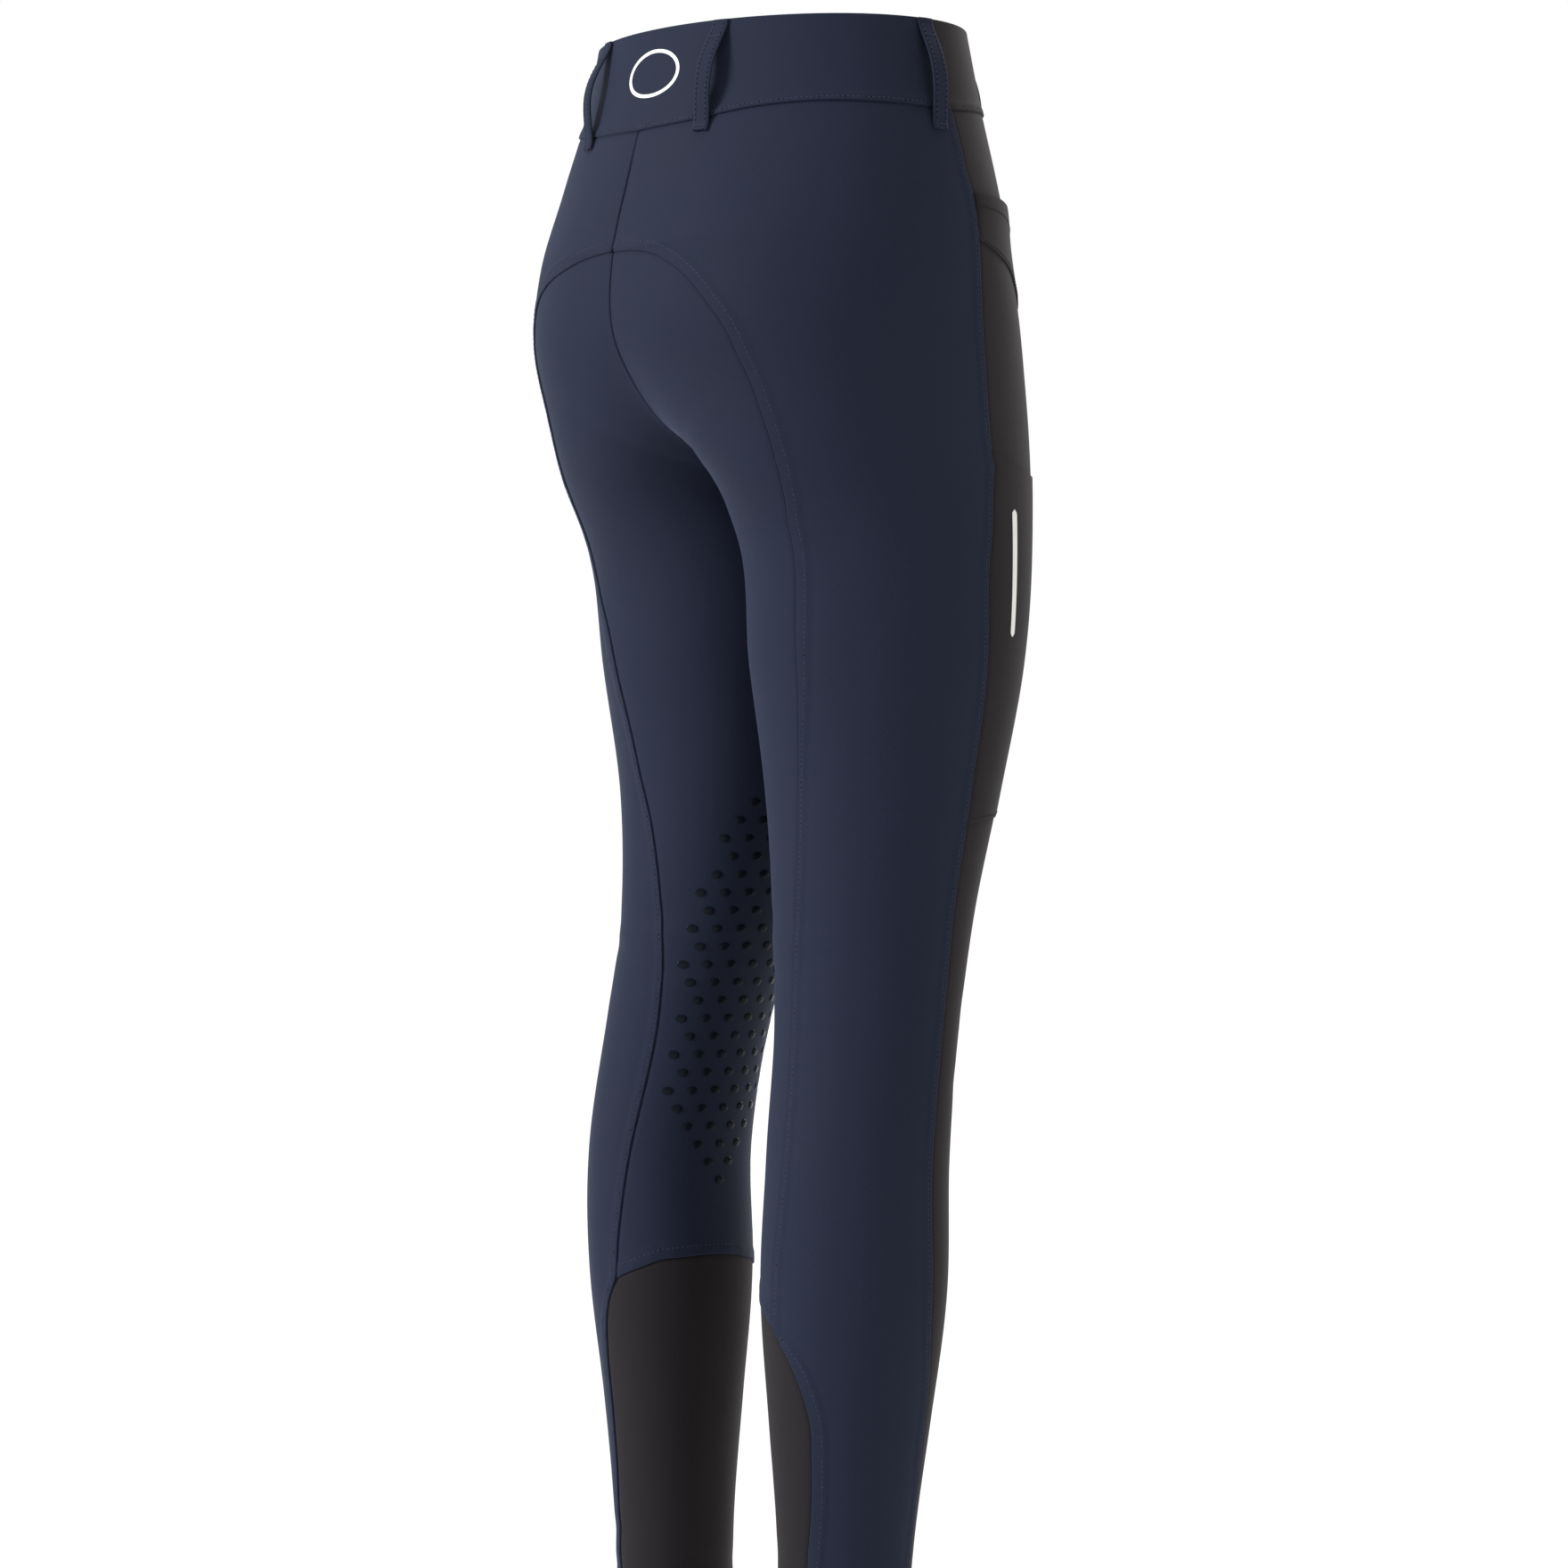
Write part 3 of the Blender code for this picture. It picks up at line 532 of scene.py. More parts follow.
def on_rail(whole, share):
    """The place at a share of a rail's length."""
    run = share * whole["run"][-1]
    return np.interp(run, whole["run"], whole["t"]), np.interp(run, whole["run"], whole["z"])


def curve_height(points):
    """A function from t to height in metres."""
    ordered = sorted(points)
    knots = np.array([t for t, _ in ordered], float)
    heights = np.array([z * MM for _, z in ordered], float)
    return lambda t: smooth_through(knots, heights, np.asarray(t, float))


BAND_HEIGHT = curve_height(BAND_LOW)


class Seam:
    """A sewn line with a make: over, under or plain, seen from one panel."""

    def __init__(self, whole, make, stitch=None):
        self.make = make
        step = max(1, int(0.0004 / max(whole["run"][-1] / len(whole["run"]), 1e-9)))
        index = np.unique(np.concatenate([np.arange(0, len(whole["t"]), step), [len(whole["t"]) - 1]]))
        self.t = whole["t"][index]
        self.z = whole["z"][index]
        self.run = whole["run"][index]
        self.points = form(self.t, self.z)
        self.stitch = None if stitch is None else stitch(self.z)
        self.tree = kdtree.KDTree(len(self.points))
        for i, point in enumerate(self.points):
            self.tree.insert(point, i)
        self.tree.balance()

    def near(self, points):
        """Distance in mm to the seam, and the run and stitch distance there."""
        found = np.array([self.tree.find(point)[1] for point in points])
        best = np.linalg.norm(points - self.points[found], axis=1)
        for shift in (-1, 1):
            other = np.clip(found + shift, 0, len(self.points) - 1)
            edge = self.points[other] - self.points[found]
            size = np.maximum((edge * edge).sum(axis=1), 1e-14)
            s = np.clip(((points - self.points[found]) * edge).sum(axis=1) / size, 0, 1)
            gap = np.linalg.norm(points - self.points[found] - edge * s[:, None], axis=1)
            best = np.minimum(best, gap)
        stitch = np.full(len(points), 3.0) if self.stitch is None else self.stitch[found]
        return best * 1000, self.run[found] * 1000, stitch

    def height(self, points):
        """How the seam lifts or sinks the cloth at points near it, in mm."""
        d, run, stitch = self.near(points)
        if self.make == "under":
            groove = LAP_GROOVE * np.exp(-((d / GROOVE_WIDTH) ** 2))
            return -LAP_DIP * (1 - eased_step(d, 0.0, LAP_REACH)) - groove
        if self.make == "plain":
            turn = 1 - np.sqrt(1 - (1 - np.clip(d / PLAIN_ROUND, 0, 1)) ** 2)
            return -PLAIN_DIP * turn - PLAIN_SINK * np.exp(-(d / PLAIN_REACH) ** 2)
        over = np.sqrt(1 - (1 - np.clip(d / LAP_ROUND, 0, 1)) ** 2)
        rise = LAP_RISE * over * (1 - eased_step(d, stitch + 0.4, stitch + 5.0))
        dip = STITCH_DIP * np.exp(-((d - stitch) / STITCH_WIDTH) ** 2)
        ripple = np.sin(run / 6.3 * math.pi + 0.8 * np.sin(run / 23.0)) + 0.5 * np.sin(run / 3.1 + 1.0)
        pucker = PUCKER * ripple * np.exp(-((d - stitch * 0.55) / (stitch * 0.55 + 1.2)) ** 2)
        return rise - dip + pucker


def seat_stitch(z):
    """How far the top stitching lies from the seat seam at height z, in mm."""
    heights, distances = np.array(SEAT_STITCH, float).T
    return np.interp(z, heights * MM, distances)


def fixed_stitch(distance):
    """The same distance in mm at every height."""
    return lambda z: np.full(np.shape(z), distance)


# Cloth pieces.

def edge_places(total, first, last, count):
    """Places from 0 to total: close together at an edge that needs it, even between."""
    steps = np.array(EDGE_STEPS) * MM
    scale = min(1.0, total / SHORT_EDGE)
    head = steps * scale if first else np.array([0.0])
    tail = (total - steps * scale)[::-1] if last else np.array([total])
    middle = np.linspace(head[-1], tail[0], count + 1)[1:-1]
    return np.concatenate([head, middle, tail])


def spread(row, runs, gap, sides=(True, True), ends=(True, True)):
    """Places over a piece. row(v, w) gives (t, z) at w from 0 to 1 across; runs is its length."""
    down_count = max(2, int(round(runs / gap)))
    down = edge_places(runs, ends[0], ends[1], down_count) / runs
    w = np.linspace(0, 1, 61)
    lines = []
    for v in down:
        t, z = row(v, w)
        length = np.linalg.norm(np.diff(form(t, z), axis=0), axis=1)
        lines.append(np.concatenate([[0], np.cumsum(length)]))
    widest = max(line[-1] for line in lines)
    across_count = max(2, int(round(widest / gap)))
    places_t = []
    places_z = []
    flat_u = []
    for v, line in zip(down, lines):
        at = edge_places(line[-1], sides[0], sides[1], across_count)
        share = np.interp(at, line, w) if line[-1] > 1e-9 else np.linspace(0, 1, len(at))
        t, z = row(v, share)
        places_t.append(t)
        places_z.append(z)
        flat_u.append(at - line[-1] / 2)
    flat_v = np.repeat((down * runs)[:, None], len(flat_u[0]), axis=1)
    return np.array(places_t), np.array(places_z), np.array(flat_u), flat_v


def made_piece(name, bm, finish, smooth=True):
    """Turns a finished bmesh into a piece that rides on the breeches."""
    mesh = bpy.data.meshes.new(name)
    bm.to_mesh(mesh)
    bm.free()
    if smooth:
        mesh.shade_smooth()
    mesh.materials.append(finish)
    obj = bpy.data.objects.new(name, mesh)
    bpy.context.collection.objects.link(obj)
    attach(obj, "root")
    return obj


def grid_piece(name, points, inside, flat, finish, outward, round_edge=0.0):
    """Cloth with an outer and an inner surface through grids of points; its flat places are its UV map."""
    down, across = points.shape[:2]
    bm = bmesh.new()
    bmesh.ops.create_grid(bm, x_segments=across - 1, y_segments=down - 1, size=0.5)
    uv = bm.loops.layers.uv.new("cloth")
    row = bm.verts.layers.int.new("row")
    column = bm.verts.layers.int.new("column")
    for vert in bm.verts:
        vert[column] = int(round((vert.co.x + 0.5) * (across - 1)))
        vert[row] = int(round((vert.co.y + 0.5) * (down - 1)))
        vert.co = points[vert[row], vert[column]]
    for face in bm.faces:
        for loop in face.loops:
            j, i = loop.vert[row], loop.vert[column]
            loop[uv].uv = (flat[0][j, i], flat[1][j, i])
    bmesh.ops.remove_doubles(bm, verts=bm.verts, dist=1e-7)
    bmesh.ops.dissolve_degenerate(bm, edges=bm.edges, dist=1e-7)
    outer = set(bm.verts)
    whole = bm.verts[:] + bm.edges[:] + bm.faces[:]
    bmesh.ops.extrude_face_region(bm, geom=whole, use_keep_orig=True)
    for vert in set(bm.verts) - outer:
        vert.co = inside[vert[row], vert[column]]
    bmesh.ops.recalc_face_normals(bm, faces=bm.faces)
    shown = [face for face in bm.faces if outer.issuperset(face.verts)][::37]
    if sum(face.normal.dot(outward(face.calc_center_median())) for face in shown) < 0:
        bmesh.ops.reverse_faces(bm, faces=bm.faces)
    obj = made_piece(name, bm, finish)
    if round_edge:
        bevel = obj.modifiers.new("turned edge", "BEVEL")
        bevel.width = round_edge
        bevel.segments = 3
        bevel.limit_method = "ANGLE"
        bevel.angle_limit = math.radians(55)
    return obj


def form_outward(turn):
    """A function for the rough outward direction at a point, for turning faces the right way."""
    def outward(point):
        z = float(np.clip(point[2], HEM, 0.0))
        here = np.array([point[0], point[1], z]) * turn
        _, _, _, _, _, mid, _, _, _ = section(z)
        ahead = here[1] < mid
        steps = np.eye(3) * SMALL_SHIFT
        slope = [float(level(here + step, ahead) - level(here - step, ahead)) for step in steps]
        return Vector(slope * turn)
    return outward


def cloth_piece(name, side, grid, seams, finish, thickness=WALL, lift=None, round_edge=0.0):
    """Lays a grid of places on the form, with folds, seams and lift, and gives it a wall."""
    t, z, flat_u, flat_v = grid
    base = form(t, z)
    inner = relief(t, z, side) - thickness
    if lift is not None:
        inner = inner + lift(t, z)
    height = inner + thickness
    for seam in seams:
        height = height + seam.height(base.reshape(-1, 3)).reshape(t.shape) * MM
    inner = np.minimum(inner, height - THIN_EDGE)
    away = normal(t, z)
    turn = to_side(side)
    points = (base + away * height[..., None]) * turn
    inside = (base + away * inner[..., None]) * turn
    return grid_piece(name, points, inside, (flat_u, flat_v), finish, form_outward(turn), round_edge)


def ruled(stages, top=None, bottom=None, reach=0.10):
    """A row function between two lists of rails, with a curved top and bottom edge if given."""
    lengths = [max(a["run"][-1], b["run"][-1]) for a, b in stages]
    marks = np.concatenate([[0], np.cumsum(lengths)])
    total = marks[-1]

    def ends(v):
        run = float(np.clip(v, 0, 1)) * total
        k = int(np.clip(np.searchsorted(marks, run) - 1, 0, len(stages) - 1))
        share = (run - marks[k]) / lengths[k]
        return on_rail(stages[k][0], share), on_rail(stages[k][1], share)

    first = ends(0)
    last = ends(1)

    def row(v, w):
        (ta, za), (tb, zb) = ends(v)
        t = ta + (tb - ta) * w
        z = za + (zb - za) * w
        for curve, tip, far in ((top, first, v * total), (bottom, last, (1 - v) * total)):
            if curve is None or far > reach:
                continue
            (ca, ya), (cb, yb) = tip
            s = np.clip((t - ca) / (cb - ca), 0, 1)
            bow = curve(np.clip(t, min(ca, cb), max(ca, cb))) - (ya + (yb - ya) * s)
            z = z + bow * (1 - far / reach) ** 2
        return t, z

    return row, total


# Stitches.

def repeat(target, turns, make):
    """Adds a small shape at each turn, in short runs so that a long line stays quick."""
    for start in range(0, len(turns), 24):
        part = bmesh.new()
        for turn in turns[start:start + 24]:
            make(part, turn)
        mesh = bpy.data.meshes.new("short_run")
        part.to_mesh(mesh)
        part.free()
        target.from_mesh(mesh)
        bpy.data.meshes.remove(mesh)


def repeat_mesh(target, turns, model):
    """Adds a copy of a small mesh at each turn."""
    for turn in turns:
        copy = model.copy()
        copy.transform(turn)
        target.from_mesh(copy)
        bpy.data.meshes.remove(copy)


def one_stitch(bm, turn):
    """A stitch is a small long ball."""
    bmesh.ops.create_uvsphere(bm, u_segments=6, v_segments=4, radius=1.0, matrix=turn)


def one_hole(bm, turn):
    """A needle pit is a flat dark ball sunk in the cloth, painted shade for the shade that falls in the
    pit.
    """
    bmesh.ops.create_uvsphere(bm, u_segments=6, v_segments=3, radius=1.0, matrix=turn)


def dome():
    """A shallow round dome with a flat underside, of unit radius and unit height."""
    cut = 0.45
    rim = math.sqrt(1 - cut ** 2)
    bm = bmesh.new()
    bmesh.ops.create_uvsphere(bm, u_segments=14, v_segments=10, radius=1.0)
    whole = bm.verts[:] + bm.edges[:] + bm.faces[:]
    bmesh.ops.bisect_plane(bm, geom=whole, plane_co=(0, 0, cut), plane_no=(0, 0, 1), clear_inner=True)
    bmesh.ops.contextual_create(bm, geom=[edge for edge in bm.edges if edge.is_boundary])
    walls = bmesh.ops.extrude_face_region(bm, geom=[face for face in bm.faces if len(face.verts) > 4])
    below = [item for item in walls["geom"] if isinstance(item, bmesh.types.BMVert)]
    bmesh.ops.translate(bm, vec=(0, 0, -0.15), verts=below)
    bmesh.ops.translate(bm, vec=(0, 0, -cut), verts=bm.verts)
    bmesh.ops.scale(bm, vec=(1 / rim, 1 / rim, 1 / (1 - cut)), verts=bm.verts)
    bmesh.ops.recalc_face_normals(bm, faces=bm.faces)
    mesh = bpy.data.meshes.new("one_dome")
    bm.to_mesh(mesh)
    bm.free()
    return mesh


class Thread:
    """Short stitches laid one by one along lines on the cloth, gathered in one piece."""

    def __init__(self, name, finish):
        self.name = name
        self.finish = finish
        self.bm = bmesh.new()
        self.holes = bmesh.new()

    def line(self, points, away, pitch=0.0031, length=0.0011, thick=0.00032, holes=True):
        """Stitches end to end along a line of points, with the outward direction at each."""
        run = np.concatenate([[0], np.cumsum(np.linalg.norm(np.diff(points, axis=0), axis=1))])
        count = int(run[-1] / pitch)
        middles = (np.arange(count) + 0.5) * run[-1] / max(count, 1)

        def at(values, places):
            return np.stack([np.interp(places, run, values[:, i]) for i in range(3)], axis=1)

        steps = at(points, middles + 0.0009) - at(points, middles - 0.0009)
        turns = []
        for centre, step, up in zip(at(points, middles), steps, at(away, middles)):
            if np.linalg.norm(step) < 1e-5:
                continue
            along = Vector(step).normalized()
            across = Vector(up).cross(along).normalized()
            up = along.cross(across)
            turn = Matrix((across * thick, up * thick, along * length)).transposed().to_4x4()
            turn.translation = centre
            turns.append(turn)
        repeat(self.bm, turns, one_stitch)
        # Each needle pit gets a small dark ball: painted shade standing for the shade that falls in it.
        if holes:
            ends = [turn @ Matrix.Translation((0, -0.35, pitch / 2 / length)) for turn in turns]
            sizes = Matrix.Diagonal((0.00055 / thick, 0.00020 / thick, 0.00050 / length, 1))
            repeat(self.holes, [end @ sizes for end in ends], one_hole)

    def finish_piece(self, hole_finish):
        """The stitches, and between them small dark balls of painted shade where the needle's holes sink
        in.
        """
        for name, bm, finish in (
            (self.name, self.bm, self.finish),
            (self.name.replace("stitching", "needle_holes"), self.holes, hole_finish),
        ):
            bmesh.ops.recalc_face_normals(bm, faces=bm.faces)
            made_piece(name, bm, finish)


def beside(t, z, distance, toward):
    """Places at a distance in metres from a line of places, on the side named by (t, z) toward."""
    h = 3e-4
    turn = turn_at(t, z)
    p_t = (form(t_at(turn + h, z), z) - form(t_at(turn - h, z), z)) / (2 * h)
    p_z = (form(t_at(turn, z + h), z + h) - form(t_at(turn, z - h), z - h)) / (2 * h)
    line = form(t, z)
    along = np.gradient(line, axis=0)
    along /= np.linalg.norm(along, axis=1, keepdims=True)
    away = normal(t, z)
    across = np.cross(away, along)
    a = (p_t * p_t).sum(axis=1)
    b = (p_t * p_z).sum(axis=1)
    c = (p_z * p_z).sum(axis=1)
    u = (p_t * across).sum(axis=1)
    v = (p_z * across).sum(axis=1)
    det = a * c - b * b
    dt = (u * c - v * b) / det
    dz = (v * a - u * b) / det
    sign = np.sign((dt * toward[0] + dz * toward[1]).sum())
    z = z + sign * dz * distance
    return t_at(turn + sign * dt * distance, z), z


def sew_along(thread, side, t, z, lift):
    """Stitches along a line of places on the cloth, lifted off it."""
    away = normal(t, z)
    points = form(t, z) + away * (relief(t, z, side) + lift)[:, None]
    thread.line(points * to_side(side), away * to_side(side))


def inside_edge(row, inset, places):
    """A line of places a little inside a piece's far edge."""
    line = []
    for v in places:
        ends = form(*row(v, np.array([0.0, 1.0])))
        width = max(float(np.linalg.norm(ends[1] - ends[0])), 0.004)
        t, z = row(v, np.array([1 - min(inset / width, 0.6)]))
        line.append((t[0], z[0]))
    return np.array(line).T


def stitch_line(thread, side, whole, distance, toward, lift_mm, start, end):
    """Stitches beside a seam, at a distance in mm that may change with height."""
    run = whole["run"]
    at = np.arange(run[0] + start, run[-1] - end, 0.0015)
    t = np.interp(at, run, whole["t"])
    z = np.interp(at, run, whole["z"])
    t, z = beside(t, z, distance(z) * MM, toward)
    sew_along(thread, side, t, z, lift_mm * MM)


# Finishes.

def math_node(tree, operation, first, second):
    """Adds a sum, product or the like of two sockets or numbers, and gives its output."""
    made = tree.nodes.new("ShaderNodeMath")
    made.operation = operation
    for socket, value in zip(made.inputs, (first, second)):
        if isinstance(value, (int, float)):
            socket.default_value = value
        else:
            tree.links.new(value, socket)
    return made.outputs[0]


def stretch_cloth_group():
    """Fine twill with slubs and a slow unevenness: colour, roughness and height."""
    tree = bpy.data.node_groups.new("stretch_cloth", "ShaderNodeTree")
    for label, kind, value in (
        ("Colour", "NodeSocketColor", NAVY),
        ("Worn colour", "NodeSocketColor", NAVY_WORN),
        ("Thread width", "NodeSocketFloat", 0.00055),
        ("Roughness", "NodeSocketFloat", 0.78),
        ("Unevenness", "NodeSocketFloat", 0.5),
    ):
        socket = tree.interface.new_socket(name=label, in_out="INPUT", socket_type=kind)
        socket.default_value = value
    for label, kind in (
        ("Cloth colour", "NodeSocketColor"),
        ("Cloth roughness", "NodeSocketFloat"),
        ("Height", "NodeSocketFloat"),
    ):
        tree.interface.new_socket(name=label, in_out="OUTPUT", socket_type=kind)
    entry = tree.nodes.new("NodeGroupInput")
    leave = tree.nodes.new("NodeGroupOutput")
    flat = tree.nodes.new("ShaderNodeUVMap")
    flat.uv_map = "cloth"
    parts = tree.nodes.new("ShaderNodeSeparateXYZ")
    tree.links.new(flat.outputs[0], parts.inputs[0])
    across = math_node(tree, "DIVIDE", parts.outputs[0], entry.outputs["Thread width"])
    down = math_node(tree, "DIVIDE", parts.outputs[1], entry.outputs["Thread width"])
    slant = math_node(tree, "ADD", math_node(tree, "MULTIPLY", down, 0.5), across)
    rib = math_node(tree, "SINE", math_node(tree, "MULTIPLY", slant, math.pi), 0.0)
    pick = math_node(tree, "SINE", math_node(tree, "MULTIPLY", down, 2 * math.pi), 0.0)
    twill = math_node(
        tree, "ADD", math_node(tree, "MULTIPLY", rib, 0.32), math_node(tree, "MULTIPLY", pick, 0.18)
    )
    solid = tree.nodes.new("ShaderNodeTexCoord")
    slub = tree.nodes.new("ShaderNodeTexNoise")
    slub.inputs["Scale"].default_value = 620.0
    slub.inputs["Detail"].default_value = 2.0
    tree.links.new(solid.outputs["Object"], slub.inputs["Vector"])
    slow = tree.nodes.new("ShaderNodeTexNoise")
    slow.inputs["Scale"].default_value = 11.0
    slow.inputs["Detail"].default_value = 3.0
    tree.links.new(solid.outputs["Object"], slow.inputs["Vector"])
    height = math_node(tree, "ADD", twill, math_node(tree, "MULTIPLY", slub.outputs["Fac"], 0.5))
    worn = math_node(tree, "MULTIPLY", slow.outputs["Fac"], entry.outputs["Unevenness"])
    worn = math_node(tree, "ADD", worn, math_node(tree, "MULTIPLY", height, 0.35))
    worn.node.use_clamp = True
    mix = tree.nodes.new("ShaderNodeMix")
    mix.data_type = "RGBA"
    tree.links.new(worn, mix.inputs["Factor"])
    tree.links.new(entry.outputs["Colour"], mix.inputs["A"])
    tree.links.new(entry.outputs["Worn colour"], mix.inputs["B"])
    rough = math_node(tree, "SUBTRACT", slow.outputs["Fac"], 0.5)
    rough = math_node(tree, "ADD", math_node(tree, "MULTIPLY", rough, 0.12), entry.outputs["Roughness"])
    tree.links.new(mix.outputs["Result"], leave.inputs["Cloth colour"])
    tree.links.new(rough, leave.inputs["Cloth roughness"])
    tree.links.new(height, leave.inputs["Height"])
    return tree


def cloth_finish(name, group, colour, worn, sheen, tint, thread=0.00055, bump=0.35):
    """Stretch cloth of one colour, with its twill and its sheen."""
    made = bpy.data.materials.new(name)
    made.use_nodes = True
    tree = made.node_tree
    shader = tree.nodes["Principled BSDF"]
    shader.inputs["Specular IOR Level"].default_value = 0.20
    shader.inputs["Sheen Weight"].default_value = sheen
    shader.inputs["Sheen Roughness"].default_value = 0.42
    shader.inputs["Sheen Tint"].default_value = tint
    cloth = tree.nodes.new("ShaderNodeGroup")
    cloth.node_tree = group
    cloth.inputs["Colour"].default_value = colour
    cloth.inputs["Worn colour"].default_value = worn
    cloth.inputs["Thread width"].default_value = thread
    relief_node = tree.nodes.new("ShaderNodeBump")
    relief_node.inputs["Strength"].default_value = bump
    relief_node.inputs["Distance"].default_value = 0.00012
    tree.links.new(cloth.outputs["Height"], relief_node.inputs["Height"])
    tree.links.new(relief_node.outputs["Normal"], shader.inputs["Normal"])
    tree.links.new(cloth.outputs["Cloth colour"], shader.inputs["Base Color"])
    tree.links.new(cloth.outputs["Cloth roughness"], shader.inputs["Roughness"])
    return made


def plain_finish(name, colour, worn, roughness, scale, coat=0.0, specular=0.5):
    """A smooth finish with a fine mottle, for thread, rubber, print and plastic."""
    made = bpy.data.materials.new(name)
    made.use_nodes = True
    tree = made.node_tree
    shader = tree.nodes["Principled BSDF"]
    shader.inputs["Specular IOR Level"].default_value = specular
    shader.inputs["Coat Weight"].default_value = coat
    shader.inputs["Coat Roughness"].default_value = 0.12
    where = tree.nodes.new("ShaderNodeTexCoord")
    mottle = tree.nodes.new("ShaderNodeTexNoise")
    mottle.inputs["Scale"].default_value = scale
    tree.links.new(where.outputs["Object"], mottle.inputs["Vector"])
    mix = tree.nodes.new("ShaderNodeMix")
    mix.data_type = "RGBA"
    tree.links.new(mottle.outputs["Fac"], mix.inputs["Factor"])
    mix.inputs["A"].default_value = colour
    mix.inputs["B"].default_value = worn
    tree.links.new(mix.outputs["Result"], shader.inputs["Base Color"])
    rough = tree.nodes.new("ShaderNodeMapRange")
    rough.inputs["To Min"].default_value = roughness - 0.05
    rough.inputs["To Max"].default_value = roughness + 0.05
    tree.links.new(mottle.outputs["Fac"], rough.inputs["Value"])
    tree.links.new(rough.outputs["Result"], shader.inputs["Roughness"])
    return made


# Pieces of the breeches.


def sewn(obj, cut, *nodes):
    """Hides the solids that a cloth piece stands for, and looks up its flat cut."""
    width, length, area = CUTS[cut]
    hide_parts(*nodes)


def patch_row(side_rail, shape):
    """A row function for a pocket patch from the side seam to its own front edge."""
    top = curve_height(shape["top"])
    low = curve_height(shape["bottom"])
    by_height = side_rail["z"][::-1]
    seam_t = side_rail["t"][::-1]

    def row(v, w):
        corner = np.clip((np.abs(2 * v - 1) - 0.72) / 0.28, 0, 1)
        front = shape["front"] + shape["corner"] * (1 - np.sqrt(1 - corner ** 2))
        start = 0.45
        for _ in range(4):
            z = top(start) + (low(start) - top(start)) * v
            start = float(np.interp(z, by_height, seam_t))
        t = start + (front - start) * w
        return t, top(t) + (low(t) - top(t)) * v

    return row


def patch_height(shape):
    """A patch's height from its mouth to its lower edge, near its middle."""
    return float(abs(curve_height(shape["top"])(0.35) - curve_height(shape["bottom"])(0.35)))


def patch_lift(shape):
    """A patch lies on its panel and stands off most at its mouth."""
    top = curve_height(shape["top"])

    def lift(t, z):
        down = np.maximum(top(t) - z, 0)
        across = np.clip((t - shape["front"]) / (PATCH_SIDE - shape["front"]), 0, 1)
        gape = shape["mouth_rise"] * MM * np.sin(np.pi * across) ** 0.6
        return PATCH_GAP + PATCH_WALL + gape * np.exp(-((down / PATCH_GAPE) ** 2))

    return lift


def side_pocket(name, node, side, rails, shape, cut, finish, gap):
    """A pocket patch that is sewn into the side seam."""
    row = patch_row(rails["side"], shape)
    grid = spread(row, patch_height(shape), gap)
    seam = Seam(cut_rail(rails["side"], shape["top"][-1][1], shape["bottom"][-1][1]), "under")
    obj = cloth_piece(name, side, grid, [seam], finish, PATCH_WALL, patch_lift(shape), PATCH_ROUND)
    sewn(obj, cut, node)
    return row


def pocket_stitches(thread, side, row, shape, inset, hems=()):
    """Stitches inside a patch's bottom and front edges, and along any hem of its mouth."""
    lift = patch_lift(shape)
    height = patch_height(shape)
    lines = [inside_edge(row, inset, np.linspace(0.04, 1 - inset / 0.2, 160))]
    for v in (1 - inset / height, *(hem / height for hem in hems)):
        lines.append(row(v, np.linspace(0.03, 0.97, 160)))
    for t, z in lines:
        sew_along(thread, side, t, z, lift(t, z) + 0.0001)


def panel(name, side, lines, seams, finish, gap, ends=(True, True), **edges):
    """A large cloth panel between two lists of rails."""
    row, total = ruled(lines, **edges)
    grid = spread(row, total, gap, ends=ends)
    obj = cloth_piece(name + "_panel_" + side, side, grid, seams, finish)
    sewn(obj, name, name + "_" + side)


